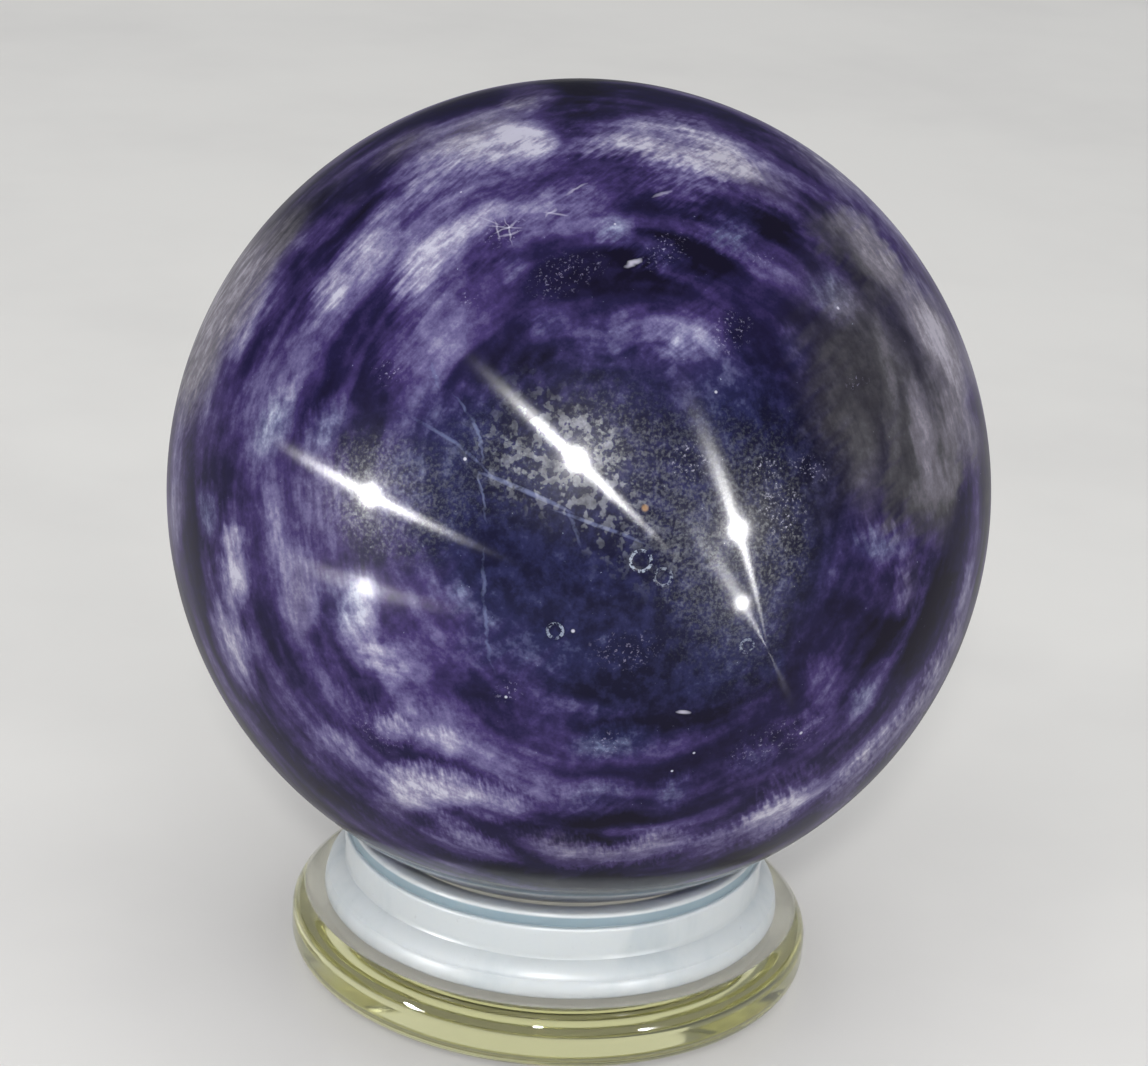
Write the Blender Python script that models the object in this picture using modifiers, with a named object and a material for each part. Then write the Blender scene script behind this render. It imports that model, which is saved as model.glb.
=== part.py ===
"""Polished fluorite sphere resting on a two-piece stand, in metres, +Z up.

The stand is a moulded plastic ring that stands on a thick glass disc. The ring looks like the sealing
ring of a jar lid turned upside down: a flat lip on top, a straight wall and a flared skirt. The sphere
sits on a sloping seat round the inner edge of the lip, a little clear of the glass below. Everything is
round about the Z axis, and the origin is at the centre of the glass disc's underside.
"""

import math

import bmesh
import bpy

MM = 0.001

# Driving dimensions of the stone
SPHERE_RADIUS = 40.0 * MM
SPHERE_SEGMENTS = 64
SPHERE_RINGS = 36

# Driving dimensions of the glass disc
GLASS_RADIUS = 26.3 * MM
GLASS_THICKNESS = 6.2 * MM
GLASS_TOP_ROUNDING = 2.6 * MM
GLASS_FOOT_ROUNDING = 2.3 * MM

# Driving dimensions of the plastic ring, from the lip down
LIP_RADIUS = 20.9 * MM
LIP_BAND = 1.35 * MM
LIP_EDGE_ROUNDING = 0.35 * MM
WALL_TOP_RADIUS = 21.3 * MM
WALL_FOOT_RADIUS = 21.1 * MM
SHOULDER_ROUNDING = 0.3 * MM
SKIRT_RADIUS = 23.1 * MM
SKIRT_CURVE_RADIUS = 3.5 * MM
SKIRT_START_DEG = 62.0
SKIRT_EDGE_ROUNDING = 0.2 * MM
INNER_FOOT_RADIUS = 18.8 * MM

# The sphere touches the ring on a circle at this angle from its lowest point
SEAT_ANGLE_DEG = 27.8
SEAT_HALF_WIDTH = 0.35 * MM
SPHERE_CENTRE_Z = 50.0 * MM

# Space between pieces that rest on each other
REST_GAP = 0.3 * MM

TURN_STEPS = 72
MERGE_DISTANCE = 0.01 * MM
SHARP_ANGLE_DEG = 40.0

# Height of the ring's foot, which follows from the glass under it
RING_FOOT_Z = GLASS_THICKNESS + REST_GAP


def arc(centre, radius, start_deg, end_deg, count):
    """Points along an arc in the profile plane, both ends included."""
    points = []
    for index in range(count):
        angle = math.radians(start_deg + (end_deg - start_deg) * index / (count - 1))
        points.append((centre[0] + radius * math.cos(angle), centre[1] + radius * math.sin(angle)))
    return points


def make_material(name, colour, roughness, metallic=0.0, transmission=0.0, ior=1.5):
    """A Principled material with a plain colour."""
    material = bpy.data.materials.new(name)
    material.use_nodes = True
    shader = material.node_tree.nodes["Principled BSDF"]
    shader.inputs["Base Color"].default_value = (*colour, 1.0)
    shader.inputs["Roughness"].default_value = roughness
    shader.inputs["Metallic"].default_value = metallic
    shader.inputs["Transmission Weight"].default_value = transmission
    shader.inputs["IOR"].default_value = ior
    material.diffuse_color = (*colour, 1.0)
    return material


def turned(name, profile, closed, collection):
    """An object turned about Z from a profile of (radius, height) points at +X."""
    mesh = bpy.data.meshes.new(name)
    build = bmesh.new()
    vertices = [build.verts.new((radius, 0.0, height)) for radius, height in profile]
    for first, second in zip(vertices, vertices[1:]):
        build.edges.new((first, second))
    if closed:
        build.edges.new((vertices[-1], vertices[0]))
    build.to_mesh(mesh)
    build.free()
    turned_object = bpy.data.objects.new(name, mesh)
    collection.objects.link(turned_object)
    screw = turned_object.modifiers.new("turn", "SCREW")
    screw.axis = "Z"
    screw.angle = math.tau
    screw.steps = TURN_STEPS
    screw.render_steps = TURN_STEPS
    screw.use_merge_vertices = True
    screw.merge_threshold = MERGE_DISTANCE
    screw.use_smooth_shade = True
    return turned_object


def apply_turn(turned_object):
    """Keep the turned surface as a mesh, smooth except at its real edges."""
    graph = bpy.context.evaluated_depsgraph_get()
    mesh = bpy.data.meshes.new_from_object(turned_object.evaluated_get(graph))
    turned_object.modifiers.clear()
    turned_object.data = mesh
    mesh.shade_smooth()
    mesh.set_sharp_from_angle(angle=math.radians(SHARP_ANGLE_DEG))


def make_sphere(collection):
    """The polished stone, one solid ball."""
    bpy.ops.mesh.primitive_uv_sphere_add(
        segments=SPHERE_SEGMENTS,
        ring_count=SPHERE_RINGS,
        radius=SPHERE_RADIUS,
        location=(0.0, 0.0, SPHERE_CENTRE_Z),
    )
    sphere = bpy.context.object
    sphere.name = "sphere"
    sphere.data.name = "sphere"
    sphere.data.shade_smooth()
    for owner in list(sphere.users_collection):
        owner.objects.unlink(sphere)
    collection.objects.link(sphere)
    sphere.data.materials.append(make_material("polished_fluorite", (0.075, 0.05, 0.20), 0.12, ior=1.43))
    return sphere


def seat_points():
    """Lower and upper end of the sloping seat, parallel to the sphere's surface and one gap outside it."""
    angle = math.radians(SEAT_ANGLE_DEG)
    reach = SPHERE_RADIUS + REST_GAP
    middle = (reach * math.sin(angle), SPHERE_CENTRE_Z - reach * math.cos(angle))
    slope = (math.cos(angle) * SEAT_HALF_WIDTH, math.sin(angle) * SEAT_HALF_WIDTH)
    lower = (middle[0] - slope[0], middle[1] - slope[1])
    upper = (middle[0] + slope[0], middle[1] + slope[1])
    return lower, upper


def ring_profile():
    """The plastic ring's cross-section, from its lip down the outside and up the bore."""
    seat_low, seat_high = seat_points()
    lip_z = seat_high[1]
    shoulder_z = lip_z - LIP_BAND
    skirt_centre = (SKIRT_RADIUS - SKIRT_CURVE_RADIUS, RING_FOOT_Z + SKIRT_EDGE_ROUNDING)
    edge_centre = (LIP_RADIUS - LIP_EDGE_ROUNDING, lip_z - LIP_EDGE_ROUNDING)
    shoulder_centre = (WALL_TOP_RADIUS - SHOULDER_ROUNDING, shoulder_z - SHOULDER_ROUNDING)
    foot_centre = (SKIRT_RADIUS - SKIRT_EDGE_ROUNDING, RING_FOOT_Z + SKIRT_EDGE_ROUNDING)
    skirt = arc(skirt_centre, SKIRT_CURVE_RADIUS, SKIRT_START_DEG, 0.0, 7)

    profile = [seat_high]
    profile += arc(edge_centre, LIP_EDGE_ROUNDING, 90.0, 0.0, 4)
    profile.append((LIP_RADIUS, shoulder_z))
    profile += arc(shoulder_centre, SHOULDER_ROUNDING, 60.0, 0.0, 3)
    profile.append((WALL_FOOT_RADIUS, skirt[0][1] + SHOULDER_ROUNDING))
    profile += skirt
    profile += arc(foot_centre, SKIRT_EDGE_ROUNDING, -45.0, -90.0, 2)
    profile.append((INNER_FOOT_RADIUS, RING_FOOT_Z))
    profile.append(seat_low)
    return profile


def make_plastic_ring(collection):
    """The moulded ring that carries the sphere."""
    ring = turned("plastic_ring", ring_profile(), True, collection)
    apply_turn(ring)
    ring.data.materials.append(make_material("white_plastic", (0.80, 0.83, 0.85), 0.35, ior=1.5))
    return ring


def glass_profile():
    """Half of the glass disc's outline, from the middle of its top to the middle of its foot."""
    top_centre = (GLASS_RADIUS - GLASS_TOP_ROUNDING, GLASS_THICKNESS - GLASS_TOP_ROUNDING)
    foot_centre = (GLASS_RADIUS - GLASS_FOOT_ROUNDING, GLASS_FOOT_ROUNDING)
    profile = [(0.0, GLASS_THICKNESS)]
    profile += arc(top_centre, GLASS_TOP_ROUNDING, 90.0, 0.0, 7)
    profile += arc(foot_centre, GLASS_FOOT_ROUNDING, 0.0, -90.0, 6)
    profile.append((0.0, 0.0))
    return profile


def make_glass_disc(collection):
    """The clear glass disc that the ring stands on."""
    disc = turned("glass_disc", glass_profile(), False, collection)
    apply_turn(disc)
    disc.data.materials.append(
        make_material("green_glass", (0.62, 0.60, 0.30), 0.03, transmission=1.0, ior=1.52)
    )
    return disc


def clear_scene():
    """Remove every object that is already in the file."""
    for old in list(bpy.data.objects):
        bpy.data.objects.remove(old, do_unlink=True)


def main():
    """Build the stone and its stand in one collection."""
    clear_scene()
    collection = bpy.data.collections.new("fluorite_sphere_on_stand")
    bpy.context.scene.collection.children.link(collection)
    make_glass_disc(collection)
    make_plastic_ring(collection)
    make_sphere(collection)


main()
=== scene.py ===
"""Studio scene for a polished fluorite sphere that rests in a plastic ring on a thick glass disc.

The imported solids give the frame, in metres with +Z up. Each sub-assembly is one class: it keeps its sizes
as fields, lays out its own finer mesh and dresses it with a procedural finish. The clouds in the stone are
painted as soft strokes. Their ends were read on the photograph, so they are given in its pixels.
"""

from __future__ import annotations

import logging
import math
from dataclasses import dataclass, field, replace
from enum import Enum
from typing import Any, Callable, Optional, Sequence, Union

import bmesh
import bpy
import numpy as np
from mathutils import Matrix, Vector

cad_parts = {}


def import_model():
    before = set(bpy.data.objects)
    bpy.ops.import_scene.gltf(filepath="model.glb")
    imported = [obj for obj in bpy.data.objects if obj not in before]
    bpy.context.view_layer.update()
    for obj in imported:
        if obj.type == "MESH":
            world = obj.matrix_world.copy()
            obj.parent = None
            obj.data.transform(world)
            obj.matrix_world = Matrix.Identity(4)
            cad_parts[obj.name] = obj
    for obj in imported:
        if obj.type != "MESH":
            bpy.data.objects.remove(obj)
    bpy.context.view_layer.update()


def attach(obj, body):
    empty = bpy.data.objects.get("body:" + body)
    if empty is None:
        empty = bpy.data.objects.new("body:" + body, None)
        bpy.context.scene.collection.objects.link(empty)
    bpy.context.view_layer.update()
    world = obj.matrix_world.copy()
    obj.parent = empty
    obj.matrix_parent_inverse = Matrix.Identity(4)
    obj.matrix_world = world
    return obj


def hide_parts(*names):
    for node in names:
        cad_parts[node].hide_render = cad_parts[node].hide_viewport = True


MM = 0.001
LOG = logging.getLogger("fluorite_sphere")


# Colours

def linear(level: float) -> float:
    """One sRGB level from 0 to 255 as linear light."""
    share = level / 255.0
    return share / 12.92 if share <= 0.04045 else ((share + 0.055) / 1.055) ** 2.4


class Tint(Enum):
    """The named colours of the pieces, as sRGB levels."""

    NIGHT = (12, 8, 28)
    INDIGO = (27, 22, 56)
    VIOLET = (57, 45, 91)
    LILAC = (97, 91, 129)
    LAVENDER = (134, 130, 157)
    CREST = (178, 176, 192)
    DEEP_NAVY = (13, 12, 36)
    NAVY = (31, 32, 68)
    SLATE = (65, 69, 100)
    FROST = (108, 118, 148)
    ICE_CREST = (166, 176, 196)
    SOOT = (26, 23, 32)
    SMOKE = (68, 67, 72)
    ASH = (109, 105, 116)
    PEARL = (162, 158, 170)
    TARNISH_AND_SHEEN = (88, 98, 110)
    HAIRLINE = (104, 112, 148)
    AMBER = (140, 108, 78)
    MILK = (199, 204, 206)
    ICE = (136, 156, 166)
    STUDIO_FLOOR = (234, 232, 228)
    DUSK = (132, 135, 141)
    DAYLIGHT = (240, 243, 247)
    WHITE = (255, 255, 255)

    @property
    def rgb(self) -> tuple[float, float, float]:
        """The colour as linear red, green and blue."""
        return tuple(linear(level) for level in self.value)

    @property
    def rgba(self) -> tuple[float, float, float, float]:
        """The colour as linear red, green, blue and a full alpha."""
        return (*self.rgb, 1.0)


Ramp = tuple[tuple[float, Tint], ...]

# The stone from dark to light: purple where it is plain, frosted where it is blue, and grey where it is clear
PURPLE_RAMP: Ramp = (
    (0.00, Tint.NIGHT), (0.14, Tint.INDIGO), (0.32, Tint.VIOLET), (0.54, Tint.LILAC), (0.76, Tint.LAVENDER),
    (1.00, Tint.CREST),
)
FROSTED_RAMP: Ramp = (
    (0.00, Tint.DEEP_NAVY), (0.26, Tint.NAVY), (0.48, Tint.SLATE), (0.72, Tint.FROST), (1.00, Tint.ICE_CREST),
)
GREY_RAMP: Ramp = ((0.00, Tint.SOOT), (0.25, Tint.SMOKE), (0.60, Tint.ASH), (1.00, Tint.PEARL))


# Shader maths

class Value:
    """One socket of a shader graph, used in plain arithmetic.

    An expression such as ``1 - mask * 0.5`` adds the Math nodes that it needs to the graph.
    """

    def __init__(self, graph: ShaderGraph, socket: bpy.types.NodeSocket) -> None:
        """Keep the graph and the socket.

        Args:
            graph: the graph that new nodes are added to.
            socket: the output that this value stands for.
        """
        self.graph = graph
        self.socket = socket

    def __add__(self, other: Operand) -> Value:
        """This value plus another."""
        return self.graph.math("ADD", self, other)

    def __radd__(self, other: Operand) -> Value:
        """Another value plus this one."""
        return self.graph.math("ADD", other, self)

    def __sub__(self, other: Operand) -> Value:
        """This value minus another."""
        return self.graph.math("SUBTRACT", self, other)

    def __rsub__(self, other: Operand) -> Value:
        """Another value minus this one."""
        return self.graph.math("SUBTRACT", other, self)

    def __mul__(self, other: Operand) -> Value:
        """This value times another."""
        return self.graph.math("MULTIPLY", self, other)

    def __rmul__(self, other: Operand) -> Value:
        """Another value times this one."""
        return self.graph.math("MULTIPLY", other, self)

    def __truediv__(self, other: Operand) -> Value:
        """This value divided by another."""
        return self.graph.math("DIVIDE", self, other)

    def __pow__(self, other: Operand) -> Value:
        """This value to the power of another."""
        return self.graph.math("POWER", self, other)

    def times_plus(self, factor: Operand, addend: Operand) -> Value:
        """This value times a factor, plus an addend, in one node."""
        return self.graph.math("MULTIPLY_ADD", self, factor, addend)

    def lowest(self, other: Operand) -> Value:
        """The smaller of this value and another."""
        return self.graph.math("MINIMUM", self, other)

    def highest(self, other: Operand) -> Value:
        """The larger of this value and another."""
        return self.graph.math("MAXIMUM", self, other)

    def angle(self) -> Value:
        """The angle whose cosine is this value."""
        return self.graph.math("ARCCOSINE", self)

    def rise(self, start: float, end: float) -> Value:
        """A smooth step from 0 at the start to 1 at the end.

        Args:
            start: the value at which the step begins.
            end: the value at which it is complete, which may be the smaller one.

        Returns:
            The step's height.
        """
        settings = {"interpolation_type": "SMOOTHSTEP", "clamp": True}
        low, high = (0.0, 1.0) if start < end else (1.0, 0.0)
        inputs = {0: self, 1: min(start, end), 2: max(start, end), 3: low, 4: high}
        return self.graph.node("ShaderNodeMapRange", settings, inputs)


Operand = Union[Value, float, int]


class ShaderGraph:
    """A material's or world's node tree, built from Python expressions."""

    def __init__(self, tree: bpy.types.NodeTree) -> None:
        """Start from an empty node tree.

        Args:
            tree: the tree of a material, a world or a node group.
        """
        self.tree = tree
        self.tree.nodes.clear()

    def node(self, kind: str, settings: dict[str, Any], inputs: dict[Any, Any], output: Any = 0) -> Value:
        """Add one node: its settings first, then its sockets.

        Args:
            kind: the node's type, such as ShaderNodeMath.
            settings: the node's own properties. The key "stops" gives a colour ramp's stops.
            inputs: the value or link of each input, by name or index.
            output: the name or index of the output that is wanted.

        Returns:
            The wanted output.
        """
        node = self.tree.nodes.new(kind)
        for name, setting in settings.items():
            if name == "stops":
                self._set_stops(node.color_ramp, setting)
            else:
                setattr(node, name, setting)
        for key, wanted in inputs.items():
            if isinstance(wanted, Value):
                self.tree.links.new(wanted.socket, node.inputs[key])
            else:
                node.inputs[key].default_value = wanted
        return Value(self, node.outputs[output])

    @staticmethod
    def _set_stops(ramp: bpy.types.ColorRamp, stops: Ramp) -> None:
        """Write a colour ramp's stops.

        Args:
            ramp: the ramp.
            stops: places from 0 to 1 and their tints, from low to high.
        """
        while len(ramp.elements) < len(stops):
            ramp.elements.new(1.0)
        for element, (place, tint) in zip(ramp.elements, stops):
            element.position = place
            element.color = tint.rgba

    def math(self, operation: str, *operands: Operand) -> Value:
        """A Math node on up to three numbers."""
        return self.node("ShaderNodeMath", {"operation": operation}, dict(enumerate(operands)))

    def vector(self, operation: str, *operands: Any) -> Value:
        """A Vector Math node.

        Args:
            operation: the node's operation.
            operands: its vectors, given as links or as three numbers.

        Returns:
            The vector, or the number for a dot product or a distance.
        """
        output = "Value" if operation in ("DOT_PRODUCT", "DISTANCE") else "Vector"
        return self.node("ShaderNodeVectorMath", {"operation": operation}, dict(enumerate(operands)), output)

    def scaled(self, vector: Any, factor: Operand) -> Value:
        """A vector times one number."""
        inputs = {"Vector": vector, "Scale": factor}
        return self.node("ShaderNodeVectorMath", {"operation": "SCALE"}, inputs, "Vector")

    def combine(self, x: Operand, y: Operand, z: Operand) -> Value:
        """A vector from three numbers."""
        return self.node("ShaderNodeCombineXYZ", {}, {0: x, 1: y, 2: z})

    def mix(self, share: Operand, first: Any, second: Any) -> Value:
        """A mix of two colours.

        Args:
            share: how much of the second colour there is, from 0 to 1.
            first: the first colour, as a link or a tint.
            second: the second colour, as a link or a tint.

        Returns:
            The mixed colour.
        """
        first, second = (colour.rgba if isinstance(colour, Tint) else colour for colour in (first, second))
        settings = {"data_type": "RGBA", "blend_type": "MIX", "clamp_factor": True}
        return self.node("ShaderNodeMix", settings, {0: share, 6: first, 7: second}, 2)

    def ramp(self, share: Value, stops: Ramp) -> Value:
        """A colour picked along a ramp of tints."""
        return self.node("ShaderNodeValToRGB", {"stops": stops}, {0: share})

    def noise(self, place: Value, scale: float, detail: float, roughness: float, output: int = 0) -> Value:
        """A noise texture.

        Args:
            place: the point that it is read at.
            scale: features per unit of length.
            detail: the number of finer layers.
            roughness: how strong the finer layers are.
            output: 0 for the value, 1 for the colour.

        Returns:
            The noise, about 0.5 on average.
        """
        inputs = {"Vector": place, "Scale": scale, "Detail": detail, "Roughness": roughness}
        return self.node("ShaderNodeTexNoise", {"noise_dimensions": "3D"}, inputs, output)

    def drawn_out(self, place: Value, axes: Matrix, stretch: Sequence[float]) -> Value:
        """A point in turned axes, with features drawn out along each of them.

        Args:
            place: the point.
            axes: the turned axes, as the columns of a rotation matrix.
            stretch: how many times longer features become along each axis.

        Returns:
            The point in the turned and stretched axes.
        """
        inputs = {"Vector": place, "Rotation": tuple(axes.to_euler("XYZ")), "Scale": tuple(stretch)}
        return self.node("ShaderNodeMapping", {"vector_type": "TEXTURE"}, inputs)

    def bump(self, height: Value, strength: float, distance: float) -> Value:
        """A Bump node's normal for a height in the given distance's unit."""
        inputs = {"Height": height, "Strength": strength, "Distance": distance}
        return self.node("ShaderNodeBump", {}, inputs, "Normal")

    def principled(self, inputs: dict[str, Any]) -> Value:
        """A Principled shader with the given sockets."""
        return self.node("ShaderNodeBsdfPrincipled", {}, inputs, "BSDF")

    def gloss(self, roughness: float, anisotropy: float, normal: Value) -> Value:
        """A white Glossy shader whose highlight can be drawn out into a streak.

        Args:
            roughness: the gloss's roughness.
            anisotropy: how far the highlight is drawn out, from 0 for a round one.
            normal: the surface's normal.

        Returns:
            The shader.
        """
        shape = {"Roughness": roughness, "Anisotropy": anisotropy}
        inputs = {"Color": Tint.WHITE.rgba, "Normal": normal, **shape}
        return self.node("ShaderNodeBsdfAnisotropic", {"distribution": "BECKMANN"}, inputs, "BSDF")

    def mix_shader(self, share: Operand, first: Value, second: Value) -> Value:
        """A mix of two shaders, with the second one's share."""
        return self.node("ShaderNodeMixShader", {}, {0: share, 1: first, 2: second}, "Shader")

    def group(self, name: str, inputs: dict[str, Value],
              inside: Callable[[ShaderGraph, dict[str, Value]], Value]) -> Value:
        """Build a vector in a node group of its own, which keeps this graph short.

        Args:
            name: the group's name.
            inputs: the vectors that the group takes.
            inside: builds the group from its graph and its inputs, and returns the vector.

        Returns:
            The vector that the group gives.
        """
        tree = bpy.data.node_groups.new(name, "ShaderNodeTree")
        inner = ShaderGraph(tree)
        for key in inputs:
            tree.interface.new_socket(key, in_out="INPUT", socket_type="NodeSocketVector")
        tree.interface.new_socket("Cover", in_out="OUTPUT", socket_type="NodeSocketVector")
        entry = tree.nodes.new("NodeGroupInput")
        result = inside(inner, {key: Value(inner, entry.outputs[key]) for key in inputs})
        inner.output("NodeGroupOutput", {"Cover": result})
        return self.node("ShaderNodeGroup", {"node_tree": tree}, inputs, "Cover")

    def output(self, kind: str, inputs: dict[str, Value]) -> None:
        """End the graph in an output node.

        Args:
            kind: the output node's type.
            inputs: the link of each of its inputs.
        """
        node = self.tree.nodes.new(kind)
        for name, link in inputs.items():
            self.tree.links.new(link.socket, node.inputs[name])


def new_material(name: str) -> tuple[bpy.types.Material, ShaderGraph]:
    """Make an empty material.

    Args:
        name: the material's name.

    Returns:
        The material and its graph.
    """
    material = bpy.data.materials.new(name)
    material.use_nodes = True
    return material, ShaderGraph(material.node_tree)


# The view

Pixel = tuple[float, float]


@dataclass(frozen=True)
class PhotoView:
    """Where the photograph was taken from, fitted to the outlines of the ball and the ring."""

    width_px: float = 1148.0
    height_px: float = 1066.0
    focal_px: float = 3273.0
    ball_centre_px: Pixel = (578.8, 491.3)
    ball_radius_px: float = 412.0
    distance: float = 320.0 * MM
    azimuth_deg: float = -26.0
    elevation_deg: float = 20.8
    roll_deg: float = 4.1
    ball_radius: float = 40.0 * MM
    ball_centre: tuple[float, float, float] = (0.0, 0.0, 50.0 * MM)
    sensor_mm: float = 36.0
    nearest: float = 10.0 * MM

    def _looking_at_ball(self) -> tuple[np.ndarray, np.ndarray, np.ndarray]:
        """Aim a camera at the ball's centre.

        Returns:
            Its right, up and back directions.
        """
        azimuth = math.radians(self.azimuth_deg)
        elevation = math.radians(self.elevation_deg)
        roll = math.radians(self.roll_deg)
        level = np.array([math.cos(azimuth), math.sin(azimuth), 0.0])
        back = np.array([level[1], -level[0], 0.0]) * math.cos(elevation)
        back[2] = math.sin(elevation)
        upright = np.cross(back, level)
        right = math.cos(roll) * level + math.sin(roll) * upright
        up = math.cos(roll) * upright - math.sin(roll) * level
        return right, up, back

    @property
    def eye(self) -> np.ndarray:
        """The camera's place."""
        return np.array(self.ball_centre) + self._looking_at_ball()[2] * self.distance

    @property
    def axes(self) -> np.ndarray:
        """The camera's own directions, aimed through the photograph's middle.

        Returns:
            Its right, up and back directions, as rows.
        """
        right, up, back = self._looking_at_ball()
        across = (self.width_px / 2.0 - self.ball_centre_px[0]) / self.focal_px * self.distance
        down = (self.height_px / 2.0 - self.ball_centre_px[1]) / self.focal_px * self.distance
        aim = np.array(self.ball_centre) + right * across - up * down
        true_back = self.eye - aim
        true_back /= np.linalg.norm(true_back)
        true_right = right - true_back * (right @ true_back)
        true_right /= np.linalg.norm(true_right)
        return np.array([true_right, np.cross(true_back, true_right), true_back])

    def on_ball(self, pixel: Pixel) -> np.ndarray:
        """The point of the ball's surface seen at a pixel.

        Args:
            pixel: x and y in the photograph.

        Returns:
            The direction to it from the ball's centre.
        """
        right, up, back = self.axes
        across = (pixel[0] - self.width_px / 2.0) / self.focal_px
        down = (pixel[1] - self.height_px / 2.0) / self.focal_px
        ray = right * across - up * down - back
        ray /= np.linalg.norm(ray)
        start = (self.eye - np.array(self.ball_centre)) / self.ball_radius
        along = float(start @ ray)
        reach = -along - math.sqrt(max(along * along - float(start @ start) + 1.0, 0.0))
        return start + ray * reach

    def seen_at(self, directions: np.ndarray) -> np.ndarray:
        """The pixels at which points of the ball are seen.

        Args:
            directions: rows of directions from the ball's centre.

        Returns:
            Rows of x and y.
        """
        right, up, back = self.axes
        from_eye = directions - (self.eye - np.array(self.ball_centre)) / self.ball_radius
        depth = -(from_eye @ back)
        x = self.width_px / 2.0 + self.focal_px * (from_eye @ right) / depth
        y = self.height_px / 2.0 - self.focal_px * (from_eye @ up) / depth
        return np.stack((x, y), axis=1)

    def mirrored_at(self, pixel: Pixel) -> np.ndarray:
        """The direction of the thing whose mirror image the ball shows at a pixel.

        Args:
            pixel: x and y in the photograph.

        Returns:
            The direction in the world.
        """
        normal = self.on_ball(pixel)
        to_eye = (self.eye - np.array(self.ball_centre)) / self.ball_radius - normal
        to_eye /= np.linalg.norm(to_eye)
        return 2.0 * float(normal @ to_eye) * normal - to_eye

    def build(self) -> bpy.types.Object:
        """Create the camera and make it the scene's.

        Returns:
            The camera.
        """
        data = bpy.data.cameras.new("photo_view")
        data.sensor_fit = "HORIZONTAL"
        data.sensor_width = self.sensor_mm
        data.lens = self.focal_px / self.width_px * self.sensor_mm
        data.clip_start = self.nearest
        camera = bpy.data.objects.new("photo_view", data)
        bpy.context.scene.collection.objects.link(camera)
        pose = Matrix(self.axes.T.tolist()).to_4x4()
        pose.translation = Vector(self.eye.tolist())
        camera.matrix_world = pose
        bpy.context.scene.camera = camera
        return camera


# The stone's clouds

PixelBox = tuple[float, float, float, float]


@dataclass(frozen=True)
class Zone:
    """A part of the ball with a material of its own, as a rectangle of the photograph.

    Its material leaves out the strokes that don't reach it, which keeps every material short.
    """

    name: str
    left: float
    top: float
    right: float
    bottom: float

    def meets(self, box: PixelBox, margin: float) -> bool:
        """Whether a box of pixels reaches into the zone.

        Args:
            box: the left, top, right and bottom of the box.
            margin: how much further it may reach on each side.

        Returns:
            True if the two overlap.
        """
        left, top, right, bottom = box
        across = left - margin < self.right and right + margin > self.left
        down = top - margin < self.bottom and bottom + margin > self.top
        return across and down


FAR_SIDE = Zone("far_side", 0.0, 0.0, 0.0, 0.0)
ZONES = (
    Zone("upper_left", 0.0, 0.0, 490.0, 350.0), Zone("upper_middle", 490.0, 0.0, 770.0, 350.0),
    Zone("upper_right", 770.0, 0.0, 1148.0, 350.0), Zone("left", 0.0, 350.0, 440.0, 640.0),
    Zone("middle", 440.0, 350.0, 800.0, 640.0), Zone("right", 800.0, 350.0, 1148.0, 640.0),
    Zone("lower_left", 0.0, 640.0, 490.0, 1066.0), Zone("lower_middle", 490.0, 640.0, 720.0, 1066.0),
    Zone("lower_right", 720.0, 640.0, 1148.0, 1066.0),
)


# How far a stroke's soft edge spreads past its core, how much of its half width rounds off each end, and
# how much further than its ends a bow moves its middle
SPREAD_ALONG = 1.30
SPREAD_ACROSS = 1.70
ROUND_END = 0.5
BOW_BEND = 1.5


@dataclass(frozen=True)
class Stroke:
    """One soft stroke of colour in the stone, in pixels of the photograph."""

    x_start: float
    y_start: float
    x_end: float
    y_end: float
    half_width: float
    strength: float
    bow: float = 0.0

    @property
    def along(self) -> Pixel:
        """The stroke's direction, as x and y of length 1."""
        length = math.hypot(self.x_end - self.x_start, self.y_end - self.y_start)
        return (self.x_end - self.x_start) / length, (self.y_end - self.y_start) / length

    @property
    def middle(self) -> Pixel:
        """The middle of the stroke's straight run."""
        return (self.x_start + self.x_end) / 2.0, (self.y_start + self.y_end) / 2.0

    @property
    def reach(self) -> float:
        """How far the soft stroke goes along its run, from its middle."""
        length = math.hypot(self.x_end - self.x_start, self.y_end - self.y_start)
        return (length / 2.0 + self.half_width * ROUND_END) * SPREAD_ALONG

    @property
    def width(self) -> float:
        """How far the soft stroke goes to each side."""
        return self.half_width * SPREAD_ACROSS

    def box(self) -> PixelBox:
        """The part of the photograph that the stroke can cover.

        Returns:
            Its left, top, right and bottom.
        """
        level, steep = (abs(share) for share in self.along)
        side = self.width + abs(self.bow) * (1.0 + BOW_BEND)
        half_x = level * self.reach + steep * side
        half_y = steep * self.reach + level * side
        x, y = self.middle
        return x - half_x, y - half_y, x + half_x, y + half_y

    def rows(self) -> tuple[tuple[float, float, float], tuple[float, float, float], float]:
        """The stroke's own axes, along it and across it.

        Returns:
            Each axis as factors of x, y and 1, and then the stroke's bow in half widths.
        """
        (level, steep), (x, y) = self.along, self.middle
        shift = level * x + steep * y
        drop = level * y - steep * x
        run = (level / self.reach, steep / self.reach, -shift / self.reach)
        side = (-steep / self.width, level / self.width, -(drop + self.bow) / self.width)
        return run, side, self.bow * BOW_BEND / self.width


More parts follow.
